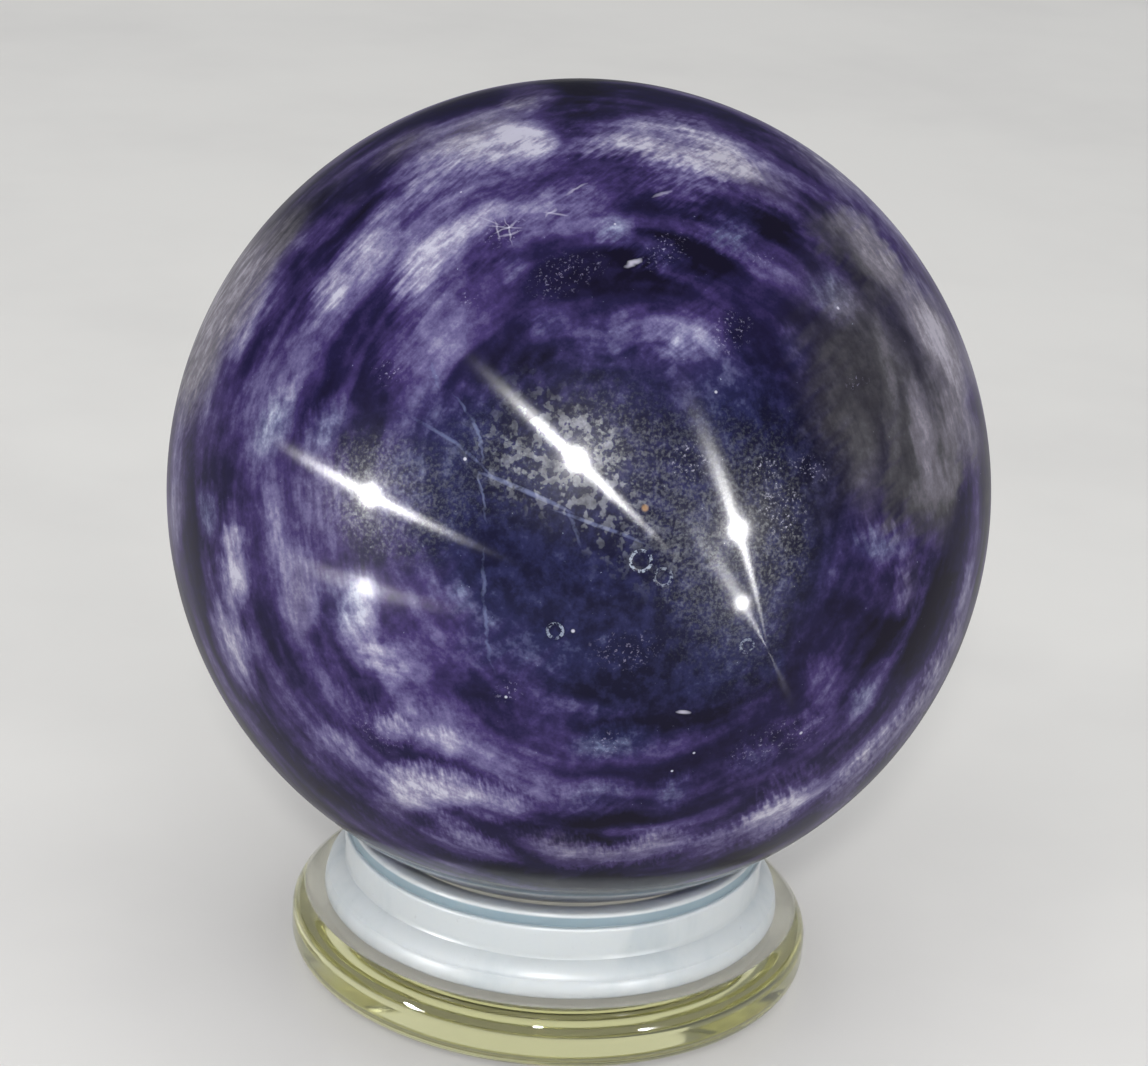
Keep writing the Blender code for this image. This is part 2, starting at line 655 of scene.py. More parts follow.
def three_domes(graph: ShaderGraph, strokes: Sequence[Stroke], across: Value, down: Value) -> Value:
    """Up to three strokes as soft domes, worked out side by side in one vector.

    Args:
        graph: the graph to build in.
        strokes: one to three strokes.
        across: the point's x in the photograph, three times.
        down: its y, three times.

    Returns:
        One number for each stroke, from 0 outside it to -1 on its middle.
    """
    # A blank place in the vector counts as outside its dome everywhere
    blank = ((0.0, 0.0, 2.0), (0.0, 0.0, 2.0), 0.0)
    rows = [stroke.rows() for stroke in strokes] + [blank] * (3 - len(strokes))
    axes = []
    for axis in (0, 1):
        by_x, by_y, by_one = (tuple(row[axis][part] for row in rows) for part in range(3))
        partial = graph.vector("MULTIPLY_ADD", across, by_x, by_one)
        axes.append(graph.vector("MULTIPLY_ADD", down, by_y, partial))
    run, side = axes
    depth = graph.vector("MULTIPLY_ADD", run, run, (-1.0, -1.0, -1.0))
    bows = tuple(row[2] for row in rows)
    if any(bows):
        side = graph.vector("MULTIPLY_ADD", depth, bows, side)
    depth = graph.vector("MULTIPLY_ADD", side, side, depth)
    return graph.vector("MINIMUM", depth, (0.0, 0.0, 0.0))


# Noise keeps near its middle, so what a brush pushes is this much larger than its reach and its wobble.
# A stroke is looked for as far away as its points are ever pushed, with the size of a face to spare.
PUSH_GAIN = 3.0
FARTHEST_PUSH = 1.35
FACE_PX = 8.0
HAIR_DEPTH = 3.0


@dataclass(frozen=True)
class Brush:
    """The fine hairs that strokes are drawn with, in pixels of the photograph."""

    lean_deg: float
    spacing: float = 5.0
    length: float = 34.0
    reach: float = 8.0
    wobble: float = 9.0
    comb: float = 0.6

    @property
    def margin(self) -> float:
        """How far the hairs and the wobble can push a point, with a face's size to spare."""
        return FARTHEST_PUSH * (self.reach + self.wobble) + FACE_PX

    @property
    def hair_px(self) -> tuple[float, float, float]:
        """The size of one hair along it, across it and into the ball."""
        return self.length, self.spacing, self.spacing * HAIR_DEPTH


class Tone(Enum):
    """What a stroke adds to the stone's clouds, as shares of light, grey and blue."""

    NIGHT = (-0.34, 0.0, 0.0)
    NAVY = (-0.03, 0.0, 0.85)
    SMOKE = (0.13, 0.95, 0.0)
    VIOLET = (0.24, 0.0, 0.0)
    SLATE = (0.36, 0.0, 0.70)
    LILAC = (0.42, 0.0, 0.0)
    MAUVE = (0.48, 0.30, 0.0)
    ASH = (0.36, 0.70, 0.0)
    FROST = (0.52, 0.0, 0.60)
    PEARL = (0.58, 0.55, 0.0)
    CREST = (0.68, 0.15, 0.0)


@dataclass(frozen=True)
class Cloud:
    """Strokes of one tone."""

    tone: Tone
    strokes: tuple[Stroke, ...]


@dataclass(frozen=True)
class Region:
    """A part of the stone whose clouds share one brush."""

    name: str
    brush: Brush
    clouds: tuple[Cloud, ...]

    def within(self, zone: Zone) -> Region:
        """The same region with only the strokes that reach a zone.

        Args:
            zone: the zone.

        Returns:
            The region as the zone's material holds it.
        """
        clouds = []
        for cloud in self.clouds:
            kept = tuple(s for s in cloud.strokes if zone.meets(s.box(), self.brush.margin))
            if kept:
                clouds.append(Cloud(cloud.tone, kept))
        return replace(self, name=f"{self.name}_{zone.name}", clouds=tuple(clouds))

    def cover(self, graph: ShaderGraph, inputs: dict[str, Value]) -> Value:
        """What the region's strokes add at a point.

        Args:
            graph: the graph to build in.
            inputs: the point's x and y in the photograph, each three times, as Across and Down.

        Returns:
            The sums of light, grey and blue.
        """
        sums: list[Any] = [(0.0, 0.0, 0.0)] * 3
        pairs = [(stroke, cloud.tone.value) for cloud in self.clouds for stroke in cloud.strokes]
        # Strokes of one kind go side by side, so that whole vectors of zeros need no node
        pairs.sort(key=lambda pair: (pair[1][1] > 0.0, pair[1][2] > 0.0, pair[0].bow != 0.0))
        for first in range(0, len(pairs), 3):
            trio = pairs[first:first + 3]
            domes = three_domes(graph, [stroke for stroke, _ in trio], inputs["Across"], inputs["Down"])
            for index in range(3):
                weights = [-stroke.strength * tone[index] for stroke, tone in trio] + [0.0] * (3 - len(trio))
                if any(weights):
                    sums[index] = graph.vector("MULTIPLY_ADD", domes, tuple(weights), sums[index])
        added = [graph.vector("DOT_PRODUCT", total, (1.0, 1.0, 1.0)) if isinstance(total, Value) else 0.0
                 for total in sums]
        return graph.combine(*added)


class Grain(Enum):
    """How marks on the polish are broken up: the noise, and where it starts and ends showing them."""

    WHOLE = ("", 0.0, 1.0)
    BROKEN = ("mist", 0.30, 0.56)
    FLAKES = ("dust", 0.58, 0.70)


@dataclass(frozen=True)
class Marks:
    """Marks on the polish, of one tint."""

    name: str
    brush: Brush
    tint: Tint
    strokes: tuple[Stroke, ...]
    grain: Grain = Grain.WHOLE

    def within(self, zone: Zone) -> Marks:
        """The same marks with only the strokes that reach a zone."""
        kept = tuple(s for s in self.strokes if zone.meets(s.box(), self.brush.margin))
        return replace(self, name=f"{self.name}_{zone.name}", strokes=kept)

    def cover(self, graph: ShaderGraph, inputs: dict[str, Value]) -> Value:
        """How thickly the marks lie on a point, three times.

        Args:
            graph: the graph to build in.
            inputs: the point's x and y in the photograph, each three times, as Across and Down.

        Returns:
            The sum of the strokes.
        """
        total: Any = (0.0, 0.0, 0.0)
        for first in range(0, len(self.strokes), 3):
            trio = self.strokes[first:first + 3]
            domes = three_domes(graph, trio, inputs["Across"], inputs["Down"])
            strengths = tuple([-stroke.strength for stroke in trio] + [0.0] * (3 - len(trio)))
            total = graph.vector("MULTIPLY_ADD", domes, strengths, total)
        number = graph.vector("DOT_PRODUCT", total, (1.0, 1.0, 1.0))
        return graph.combine(number, number, number)


BROAD_BRUSH = Brush(-40.0, spacing=9.0, length=70.0, reach=12.0, wobble=20.0, comb=0.15)

GROUND_BODIES = Region("ground_bodies", BROAD_BRUSH, (
    Cloud(Tone.NAVY, (
        Stroke(520, 450, 740, 560, 125, 1.00), Stroke(380, 470, 520, 510, 74, 0.75),
        Stroke(520, 640, 720, 660, 80, 0.80), Stroke(760, 380, 800, 620, 60, 0.70),
    )),
    Cloud(Tone.SMOKE, (
        Stroke(885, 310, 915, 480, 54, 0.95), Stroke(820, 250, 842, 440, 34, 0.50),
        Stroke(914, 440, 936, 532, 26, 0.95), Stroke(812, 400, 846, 530, 30, 0.45),
        Stroke(800, 226, 880, 290, 18, 0.60, -6),
    )),
    Cloud(Tone.VIOLET, (
        Stroke(400, 370, 480, 284, 42, 1.00), Stroke(285, 330, 400, 215, 22, 0.45),
        Stroke(440, 330, 560, 300, 36, 0.50), Stroke(640, 210, 750, 232, 18, 0.75, -8),
        Stroke(610, 345, 740, 345, 24, 0.45), Stroke(520, 215, 610, 205, 22, 0.60),
        Stroke(862, 560, 884, 605, 22, 0.85), Stroke(925, 590, 890, 700, 13, 0.60, -6),
        Stroke(225, 500, 235, 640, 30, 0.80, -8), Stroke(370, 610, 480, 640, 42, 0.85),
        Stroke(390, 745, 560, 775, 18, 0.75, 8), Stroke(330, 700, 470, 715, 18, 0.50),
        Stroke(560, 825, 800, 790, 13, 0.70, 12), Stroke(250, 690, 330, 740, 20, 0.25),
        Stroke(820, 700, 860, 640, 24, 0.60), Stroke(800, 130, 900, 240, 16, 0.50, -10),
        Stroke(420, 150, 500, 118, 14, 0.55, -4), Stroke(775, 280, 790, 250, 16, 0.50),
    )),
    Cloud(Tone.NIGHT, (
        Stroke(548, 116, 604, 108, 20, 1.15), Stroke(640, 265, 790, 262, 38, 0.75, -14),
        Stroke(690, 215, 790, 250, 12, 0.55, -8), Stroke(520, 815, 640, 812, 12, 0.90, 6),
        Stroke(480, 868, 720, 864, 13, 0.95, 10), Stroke(270, 250, 330, 192, 14, 0.90, -4),
        Stroke(335, 262, 410, 180, 12, 0.70, -4), Stroke(690, 108, 870, 235, 12, 0.80, -26),
        Stroke(928, 550, 914, 655, 17, 0.85), Stroke(972, 545, 905, 730, 10, 0.65, -16),
        Stroke(860, 640, 905, 655, 24, 0.70), Stroke(690, 840, 830, 775, 9, 0.60, 12),
        Stroke(590, 290, 760, 290, 24, 0.50, -10), Stroke(450, 380, 560, 340, 24, 0.60),
        Stroke(560, 684, 760, 676, 34, 0.60, 6), Stroke(768, 420, 792, 570, 32, 0.55),
        Stroke(470, 880, 700, 884, 16, 0.60, 6), Stroke(230, 700, 320, 810, 14, 0.45, 5),
    )),
))

UPPER_LEFT = Region("upper_left_veils", Brush(-47.0, spacing=4.0, reach=6.5, comb=0.42), (
    Cloud(Tone.LILAC, (
        Stroke(322, 316, 376, 245, 17, 0.80), Stroke(260, 332, 290, 284, 12, 0.90, -3),
        Stroke(235, 356, 248, 322, 10, 0.80), Stroke(300, 246, 345, 212, 10, 0.60),
        Stroke(395, 260, 510, 175, 46, 0.75), Stroke(405, 305, 444, 258, 24, 0.70),
        Stroke(385, 360, 446, 322, 26, 0.75), Stroke(300, 300, 345, 225, 34, 0.30),
        Stroke(250, 400, 330, 330, 26, 0.35),
    )),
    Cloud(Tone.ASH, (
        Stroke(186, 420, 206, 356, 12, 0.80), Stroke(197, 388, 262, 250, 12, 0.75, -8),
        Stroke(336, 206, 364, 186, 8, 0.40), Stroke(380, 162, 434, 130, 12, 0.65),
        Stroke(440, 148, 520, 112, 15, 0.80), Stroke(262, 262, 300, 206, 9, 0.55),
        Stroke(204, 372, 334, 184, 22, 1.10, -9), Stroke(340, 184, 430, 124, 12, 0.45, -3),
    )),
    Cloud(Tone.MAUVE, (
        Stroke(206, 380, 262, 268, 22, 0.70, -5), Stroke(256, 270, 300, 222, 16, 0.45, -3),
        Stroke(192, 460, 210, 380, 18, 0.55, -3),
    )),
    Cloud(Tone.CREST, (
        Stroke(346, 276, 396, 214, 13, 0.70, -3), Stroke(388, 212, 470, 162, 17, 0.80, -5),
        Stroke(400, 282, 440, 236, 13, 0.80), Stroke(432, 252, 490, 204, 15, 0.55),
        Stroke(462, 164, 545, 140, 14, 0.65, -3), Stroke(322, 302, 338, 282, 11, 0.60),
    )),
))

TOP = Region("top_veils", Brush(-38.0, spacing=4.0, length=26.0, reach=7.0, comb=0.60), (
    Cloud(Tone.LILAC, (
        Stroke(534, 222, 622, 190, 19, 0.80, -3), Stroke(645, 186, 722, 202, 19, 0.95, -5),
        Stroke(520, 150, 740, 160, 30, 0.55, -8), Stroke(500, 128, 560, 150, 12, 0.55),
        Stroke(690, 130, 760, 160, 14, 0.60), Stroke(660, 345, 716, 314, 22, 0.80),
    )),
    Cloud(Tone.MAUVE, (
        Stroke(628, 352, 642, 310, 9, 0.45, -5), Stroke(500, 200, 560, 178, 18, 0.50),
        Stroke(600, 128, 700, 126, 11, 0.65),
    )),
    Cloud(Tone.FROST, (
        Stroke(602, 233, 626, 226, 12, 0.80), Stroke(634, 246, 680, 266, 14, 0.75),
        Stroke(712, 232, 748, 226, 17, 0.95), Stroke(510, 276, 528, 246, 13, 0.50),
        Stroke(530, 326, 562, 308, 16, 0.40), Stroke(740, 240, 772, 262, 11, 0.45),
    )),
    Cloud(Tone.PEARL, (
        Stroke(498, 100, 554, 93, 8, 0.80), Stroke(484, 160, 550, 140, 10, 0.60),
        Stroke(582, 142, 668, 146, 11, 0.65), Stroke(655, 158, 745, 180, 12, 0.80, -5),
        Stroke(700, 138, 742, 150, 9, 0.55),
    )),
))

RIGHT = Region("right_veils", Brush(68.0, spacing=5.0, length=60.0, reach=7.0, comb=0.32), (
    Cloud(Tone.LILAC, (
        Stroke(866, 540, 908, 545, 20, 0.60), Stroke(906, 385, 916, 478, 10, 0.75, -4),
        Stroke(745, 712, 785, 704, 18, 0.55), Stroke(816, 672, 836, 690, 16, 0.60),
        Stroke(740, 810, 880, 690, 26, 0.55, 14), Stroke(758, 818, 812, 778, 14, 0.75),
        Stroke(792, 742, 830, 710, 13, 0.75), Stroke(830, 200, 905, 290, 22, 0.60, -8),
        Stroke(905, 300, 965, 430, 20, 0.60, -8),
    )),
    Cloud(Tone.SLATE, (
        Stroke(732, 774, 772, 756, 11, 0.70), Stroke(876, 690, 850, 713, 8, 0.65),
        Stroke(816, 282, 846, 318, 15, 1.00), Stroke(790, 336, 804, 364, 10, 0.60),
        Stroke(766, 672, 782, 658, 9, 0.70), Stroke(690, 690, 740, 640, 26, 0.40),
        Stroke(864, 542, 902, 540, 14, 0.80),
    )),
    Cloud(Tone.PEARL, (
        Stroke(720, 168, 786, 206, 14, 0.85, -4), Stroke(764, 147, 842, 202, 12, 0.75, -7),
        Stroke(830, 220, 870, 236, 10, 0.65), Stroke(800, 180, 920, 300, 18, 0.40, -14),
        Stroke(858, 245, 890, 276, 12, 0.95), Stroke(884, 274, 930, 352, 14, 0.80, -5),
        Stroke(920, 320, 960, 394, 11, 0.80, -4), Stroke(942, 400, 966, 480, 13, 0.45, -3),
        Stroke(908, 385, 916, 480, 7, 0.40, -3), Stroke(872, 330, 884, 500, 6, 0.30, -4),
        Stroke(926, 320, 946, 490, 16, 0.55, -5), Stroke(918, 506, 950, 476, 15, 0.60),
        Stroke(846, 420, 868, 540, 12, 0.30, -4), Stroke(868, 300, 892, 420, 12, 0.25, -4),
        Stroke(906, 555, 892, 611, 9, 0.75, -3),
        Stroke(962, 562, 946, 642, 6, 0.75, -4), Stroke(949, 632, 912, 702, 8, 0.90, -4),
        Stroke(914, 698, 866, 755, 8, 0.70, -3), Stroke(866, 748, 822, 808, 7, 0.60, -3),
        Stroke(745, 834, 800, 795, 9, 0.70), Stroke(690, 850, 745, 828, 7, 0.45),
    )),
))

LEFT = Region("left_veils", Brush(84.0, spacing=5.0, length=50.0, reach=6.0, comb=0.28), (
    Cloud(Tone.LILAC, (
        Stroke(224, 610, 236, 512, 17, 0.80), Stroke(298, 555, 302, 640, 15, 0.75),
        Stroke(172, 580, 186, 440, 11, 0.75, -4), Stroke(250, 640, 262, 655, 9, 0.50),
        Stroke(314, 470, 322, 570, 36, 0.95), Stroke(262, 520, 272, 600, 18, 0.35),
    )),
    Cloud(Tone.ASH, (
        Stroke(294, 556, 302, 640, 13, 0.60), Stroke(172, 560, 184, 460, 8, 0.55),
        Stroke(300, 440, 312, 530, 30, 0.35),
    )),
    Cloud(Tone.FROST, (
        Stroke(262, 456, 292, 400, 14, 0.85, -3), Stroke(206, 486, 209, 536, 8, 0.95),
        # The stroke from (336, 582) is partly cloud and partly a painted glow round the low left glint
        Stroke(306, 448, 342, 406, 15, 0.80), Stroke(336, 582, 352, 628, 24, 0.70),
    )),
    Cloud(Tone.CREST, (
        Stroke(230, 606, 262, 688, 11, 0.95, 5), Stroke(232, 548, 236, 528, 9, 0.80),
        Stroke(232, 600, 234, 560, 13, 0.75), Stroke(358, 600, 364, 660, 16, 0.70),
        # This stroke sits on the low left glint: partly cloud and partly a painted glow round it
        Stroke(366, 570, 368, 610, 16, 0.40),
    )),
))

LOW_LEFT = Region("low_left_veils", Brush(8.0, spacing=6.0, length=60.0, reach=7.0, comb=0.30), (
    Cloud(Tone.LILAC, (
        Stroke(340, 586, 460, 594, 18, 0.45), Stroke(350, 626, 480, 644, 14, 0.45),
        Stroke(330, 656, 470, 676, 20, 0.70), Stroke(470, 600, 560, 612, 14, 0.25),
        Stroke(470, 660, 600, 668, 13, 0.30),
    )),
    Cloud(Tone.CREST, (
        Stroke(376, 656, 426, 672, 12, 0.60),
    )),
))

BOTTOM = Region("bottom_veils", Brush(78.0, spacing=3.5, length=16.0, reach=5.0, comb=0.30), (
    Cloud(Tone.LILAC, (
        Stroke(300, 690, 560, 716, 14, 0.42, 6), Stroke(350, 712, 412, 736, 14, 0.42),
        Stroke(416, 738, 560, 752, 13, 0.42, 3), Stroke(222, 690, 252, 724, 7, 0.45),
        Stroke(250, 724, 306, 792, 8, 0.35), Stroke(380, 768, 600, 796, 20, 0.50, 6),
        Stroke(350, 816, 430, 842, 12, 0.65), Stroke(300, 756, 332, 780, 8, 0.50),
        Stroke(450, 842, 700, 842, 14, 0.25, 8), Stroke(536, 674, 642, 640, 14, 0.45),
        Stroke(312, 660, 342, 702, 14, 0.50), Stroke(600, 700, 720, 690, 14, 0.30),
    )),
    Cloud(Tone.SLATE, (
        Stroke(582, 750, 648, 736, 13, 0.85), Stroke(655, 802, 690, 782, 11, 0.80),
        Stroke(560, 806, 640, 794, 12, 0.65),
    )),
    Cloud(Tone.CREST, (
        Stroke(322, 727, 366, 762, 11, 0.70, 3), Stroke(396, 772, 470, 790, 17, 1.00, 3),
        Stroke(470, 794, 530, 802, 14, 0.68, 3), Stroke(432, 828, 506, 860, 10, 0.75),
        Stroke(378, 722, 408, 732, 10, 0.70), Stroke(418, 738, 462, 748, 10, 0.60),
    )),
    Cloud(Tone.PEARL, (
        Stroke(524, 842, 604, 856, 12, 0.90), Stroke(604, 850, 690, 828, 10, 0.80, 3),
        Stroke(376, 800, 418, 812, 10, 0.55),
    )),
))

WORN_BRUSH = Brush(-40.0, spacing=6.0, length=9.0, reach=5.0, wobble=12.0)

# Tarnished flecks round the streaks: real wear in the gloss, and a painted sheen of the lamps' glow in the
# colour
TARNISH_AND_SHEEN_ISLANDS = Marks("tarnish_and_sheen_islands", WORN_BRUSH, Tint.TARNISH_AND_SHEEN, (
    Stroke(500, 400, 610, 510, 46, 0.60), Stroke(555, 425, 605, 485, 26, 0.70),
    Stroke(440, 446, 520, 470, 28, 0.35), Stroke(600, 510, 660, 600, 34, 0.40),
    Stroke(336, 478, 400, 506, 30, 0.50), Stroke(690, 480, 740, 600, 40, 0.35),
))

TARNISH_AND_SHEEN_GRIT = Marks("tarnish_and_sheen_grit", WORN_BRUSH, Tint.TARNISH_AND_SHEEN, (
    Stroke(330, 462, 440, 540, 46, 0.90), Stroke(700, 450, 755, 610, 54, 0.90),
    Stroke(640, 520, 700, 580, 40, 0.55), Stroke(420, 440, 500, 480, 50, 0.45),
    Stroke(690, 600, 760, 690, 46, 0.60), Stroke(600, 380, 700, 480, 50, 0.50),
    Stroke(770, 400, 800, 560, 44, 0.55), Stroke(500, 420, 600, 520, 70, 0.40),
    Stroke(520, 620, 640, 660, 60, 0.25),
))

SPARKLES = Marks("sparkles", WORN_BRUSH, Tint.LAVENDER, (
    Stroke(680, 460, 694, 474, 12, 0.90), Stroke(764, 468, 778, 474, 9, 0.90),
    Stroke(800, 466, 820, 474, 10, 0.80), Stroke(774, 500, 799, 520, 14, 0.90),
    Stroke(544, 284, 590, 262, 14, 0.55), Stroke(646, 262, 680, 240, 12, 0.90),
    Stroke(490, 236, 522, 220, 11, 0.80), Stroke(712, 346, 742, 326, 15, 0.75),
    Stroke(458, 306, 470, 302, 8, 0.80), Stroke(376, 372, 392, 364, 9, 0.75),
    Stroke(400, 262, 440, 250, 16, 0.55), Stroke(356, 720, 408, 732, 12, 0.60),
    Stroke(760, 262, 768, 268, 6, 0.70), Stroke(500, 700, 512, 690, 8, 0.60),
    Stroke(596, 656, 650, 646, 12, 0.50), Stroke(590, 752, 626, 742, 10, 0.60),
    Stroke(740, 765, 812, 720, 10, 0.60), Stroke(850, 385, 858, 380, 6, 0.55),
), Grain.FLAKES)

LINE = Brush(20.0, spacing=7.0, length=12.0, reach=3.0, wobble=6.0)

CRACKS = Marks("fine_cracks", LINE, Tint.HAIRLINE, (
    Stroke(400, 421, 487, 479, 1.3, 0.45, -5), Stroke(487, 479, 560, 512, 1.9, 0.66, -3),
    Stroke(560, 512, 634, 540, 1.4, 0.50), Stroke(452, 403, 479, 462, 1.3, 0.52, -4),
    Stroke(479, 462, 487, 516, 1.2, 0.42), Stroke(491, 556, 499, 660, 1.5, 0.46, 3),
    Stroke(428, 362, 439, 388, 1.3, 0.46), Stroke(566, 512, 576, 540, 1.4, 0.36),
), Grain.BROKEN)

SCRATCHES = Marks("single_scratches", LINE, Tint.CREST, (
    Stroke(566, 194, 582, 186, 0.9, 0.50), Stroke(546, 215, 556, 208, 0.9, 0.50),
    Stroke(547, 211, 566, 215, 0.8, 0.45), Stroke(496, 232, 516, 220, 0.8, 0.50),
    Stroke(488, 224, 520, 226, 0.7, 0.45), Stroke(505, 216, 513, 242, 0.7, 0.45),
    Stroke(494, 218, 500, 238, 0.7, 0.40), Stroke(500, 236, 522, 230, 0.7, 0.40),
    Stroke(480, 214, 497, 222, 0.7, 0.35), Stroke(624, 267, 636, 261, 2.0, 0.80),
    Stroke(679, 713, 689, 713, 1.4, 0.80), Stroke(652, 196, 668, 190, 1.1, 0.40),
))

CLOUD_REGIONS = (GROUND_BODIES, UPPER_LEFT, TOP, RIGHT, LEFT, LOW_LEFT, BOTTOM)
MARKS = (CRACKS, SCRATCHES, SPARKLES)

# Bright specks on the polish; the amber one at (645, 508) is a painted orange glint
SPECKS: tuple[tuple[Pixel, float, Tint], ...] = (
    ((694, 753), 1.8, Tint.CREST), ((672, 771), 1.8, Tint.CREST), ((465, 459), 2.2, Tint.CREST),
    ((573, 631), 2.4, Tint.CREST), ((645, 508), 4.5, Tint.AMBER), ((615, 224), 1.7, Tint.CREST),
    ((801, 733), 2.4, Tint.CREST), ((838, 308), 2.4, Tint.CREST), ((716, 392), 2.0, Tint.CREST),
    ((422, 268), 2.0, Tint.CREST), ((461, 192), 1.5, Tint.CREST), ((506, 697), 2.0, Tint.CREST),
)


@dataclass(frozen=True)
class Pit:
    """A small chipped ring in the polish, with how bright the painted highlight on its rim is."""

    centre_px: Pixel
    radius: float
    depth: float
    rim: float


PITS = (
    Pit((641.0, 561.0), 0.90 * MM, 0.085 * MM, 0.60),
    Pit((663.0, 577.0), 0.75 * MM, 0.040 * MM, 0.30),
    Pit((555.0, 631.0), 0.66 * MM, 0.070 * MM, 0.50),
    Pit((747.0, 646.0), 0.60 * MM, 0.035 * MM, 0.35),
)


@dataclass
class Canvas:
    """One zone's node graph, with what the steps of its finish share."""

    graph: ShaderGraph
    zone: Zone
    place: Value
    sheet: Value
    front: Operand
    noises: dict[str, Value]
    brushed: dict[Brush, tuple[Value, dict[str, Value]]] = field(default_factory=dict)


@dataclass(frozen=True)
class PolishedFluorite:
    """The stone's finish: banded purple and white clouds under a worn, streaky polish."""

    view: PhotoView
    upright: Matrix
    zone: Zone
    band_axis_px: Pixel = (635.0, 510.0)
    ior: float = 1.434
    haze: float = 0.36
    haze_spread: float = 0.12
    under_gloss: float = 0.03
    coat: float = 0.12
    coat_roughness: float = 0.11
    foot_coat: float = 1.0
    clean_foot: tuple[float, float] = (0.64, 0.82)
    scratch_roughness: float = 0.182
    scratch_anisotropy: float = 0.804
    scratch_shares: tuple[float, float] = (0.0026, 0.0061)
    tarnish_roughness: float = 0.42
    tarnish_gloss: float = 0.014
    tarnish_and_sheen_cover: float = 0.24
    band_wobble: float = 0.06
    bands_per_radian: float = 9.0
    hairs_per_radian: float = 60.0
    far_tones: float = 0.8
    far_veils: float = 0.40
    near_veils: float = 0.38
    veil_contrast: float = 1.4
    veil_limit: float = 0.42
    ground_light: float = 0.05
    speck_edge: tuple[float, float] = (440.0, 1300.0)
    speck_margin: float = 16.0
    chip_margin: float = 30.0
    dust_cover: float = 0.55
    rim_highlight_width: float = 0.0035
    unevenness: float = 0.35
    unevenness_depth: float = 0.004 * MM
    front_fade: tuple[float, float] = (0.03, 0.20)

    def build(self) -> bpy.types.Material:
        """Write the zone's material.

        Returns:
            The stone's material in this zone.
        """
        material, graph = new_material(f"polished_fluorite_{self.zone.name}")
        place = self._unit_place(graph)
        front: Operand = 0.0
        if self.zone is not FAR_SIDE:
            front = graph.vector("DOT_PRODUCT", place, tuple(self.view.axes[2])).rise(*self.front_fade)
        canvas = Canvas(graph, self.zone, place, self._sheet(graph, place), front, {
            "wobble": graph.noise(place, 4.0, 1.0, 0.5, output=1),
            "mist": graph.noise(place, 26.0, 3.0, 0.65),
            "flock": graph.noise(place, 46.0, 2.0, 0.62),
            "dust": graph.noise(place, 125.0, 2.0, 0.7),
        })
        colour = self._clouded(canvas)
        worn = self._tarnish_and_sheen(canvas)
        if isinstance(worn, Value):
            # Painted sheen: the tarnish colour on the worn flecks also stands for the lamps' glow round the
            # streaks
            colour = graph.mix(worn * self.tarnish_and_sheen_cover, colour, Tint.TARNISH_AND_SHEEN)
        for marks in MARKS:
            cover = self._cover(canvas, marks)
            if cover is not None:
                source, low, high = marks.grain.value
                if source:
                    cover = cover * canvas.noises[source].rise(low, high)
                colour = graph.mix(cover, colour, marks.tint)
        colour = self._specks(canvas, colour)
        colour = self._chip_rim_highlights_and_dust(canvas, colour)
        surface = self._polish(canvas, colour, worn)
        graph.output("ShaderNodeOutputMaterial", {"Surface": surface})
        return material

    def _polish(self, canvas: Canvas, colour: Value, worn: Operand) -> Value:
        """The gloss over the colour: a clear polish, scratches that run round it and tarnished flecks.

        Args:
            canvas: the zone's graph and what it shares.
            colour: the stone's colour.
            worn: how worn the polish is.

        Returns:
            The whole surface shader.
        """
        graph, mist = canvas.graph, canvas.noises["mist"]
        normal = self._uneven_polish(canvas)
        foot = graph.vector("DOT_PRODUCT", canvas.place, (0.0, 0.0, -1.0)).rise(*self.clean_foot)
        stone = graph.principled({
            "Base Color": colour,
            "Roughness": mist.times_plus(self.haze_spread, self.haze - self.haze_spread / 2.0),
            "IOR": self.ior,
            "Specular IOR Level": self.under_gloss,
            "Coat Weight": foot.times_plus(self.foot_coat - self.coat, self.coat),
            "Coat Roughness": self.coat_roughness,
            "Coat IOR": self.ior,
            "Normal": normal,
        })
        scratches = graph.gloss(self.scratch_roughness, self.scratch_anisotropy, normal)
        fewest, most = self.scratch_shares
        surface = graph.mix_shader(mist.times_plus(most - fewest, fewest), stone, scratches)
        if isinstance(worn, Value):
            tarnish = graph.gloss(self.tarnish_roughness, 0.0, normal)
            surface = graph.mix_shader(worn * self.tarnish_gloss, surface, tarnish)
        return surface

    def _unit_place(self, graph: ShaderGraph) -> Value:
        """The surface point from the ball's centre, upright, with the radius as its unit.

        Args:
            graph: the graph to build in.

        Returns:
            The point on the unit ball.
        """
        local = graph.node("ShaderNodeTexCoord", {}, {}, "Object")
        radius = self.view.ball_radius
        return graph.drawn_out(local, self.upright.inverted(), (radius, radius, radius))

    def _sheet(self, graph: ShaderGraph, place: Value) -> Value:
        """The surface point's pixel in the photograph, from its place on the ball alone.

        Args:
            graph: the graph to build in.
            place: the point on the unit ball.

        Returns:
            The pixel as (x, y, 0).
        """
        right, up, back = self.view.axes
        eye = (self.view.eye - np.array(self.view.ball_centre)) / self.view.ball_radius
        focal = self.view.focal_px
        depth = float(eye @ back) - graph.vector("DOT_PRODUCT", place, tuple(back))
        across = graph.vector("DOT_PRODUCT", place, tuple(right)) - float(eye @ right)
        above = graph.vector("DOT_PRODUCT", place, tuple(up)) - float(eye @ up)
        x = (across / depth).times_plus(focal, self.view.width_px / 2.0)
        y = (above / depth).times_plus(-focal, self.view.height_px / 2.0)
        return graph.combine(x, y, 0.0)

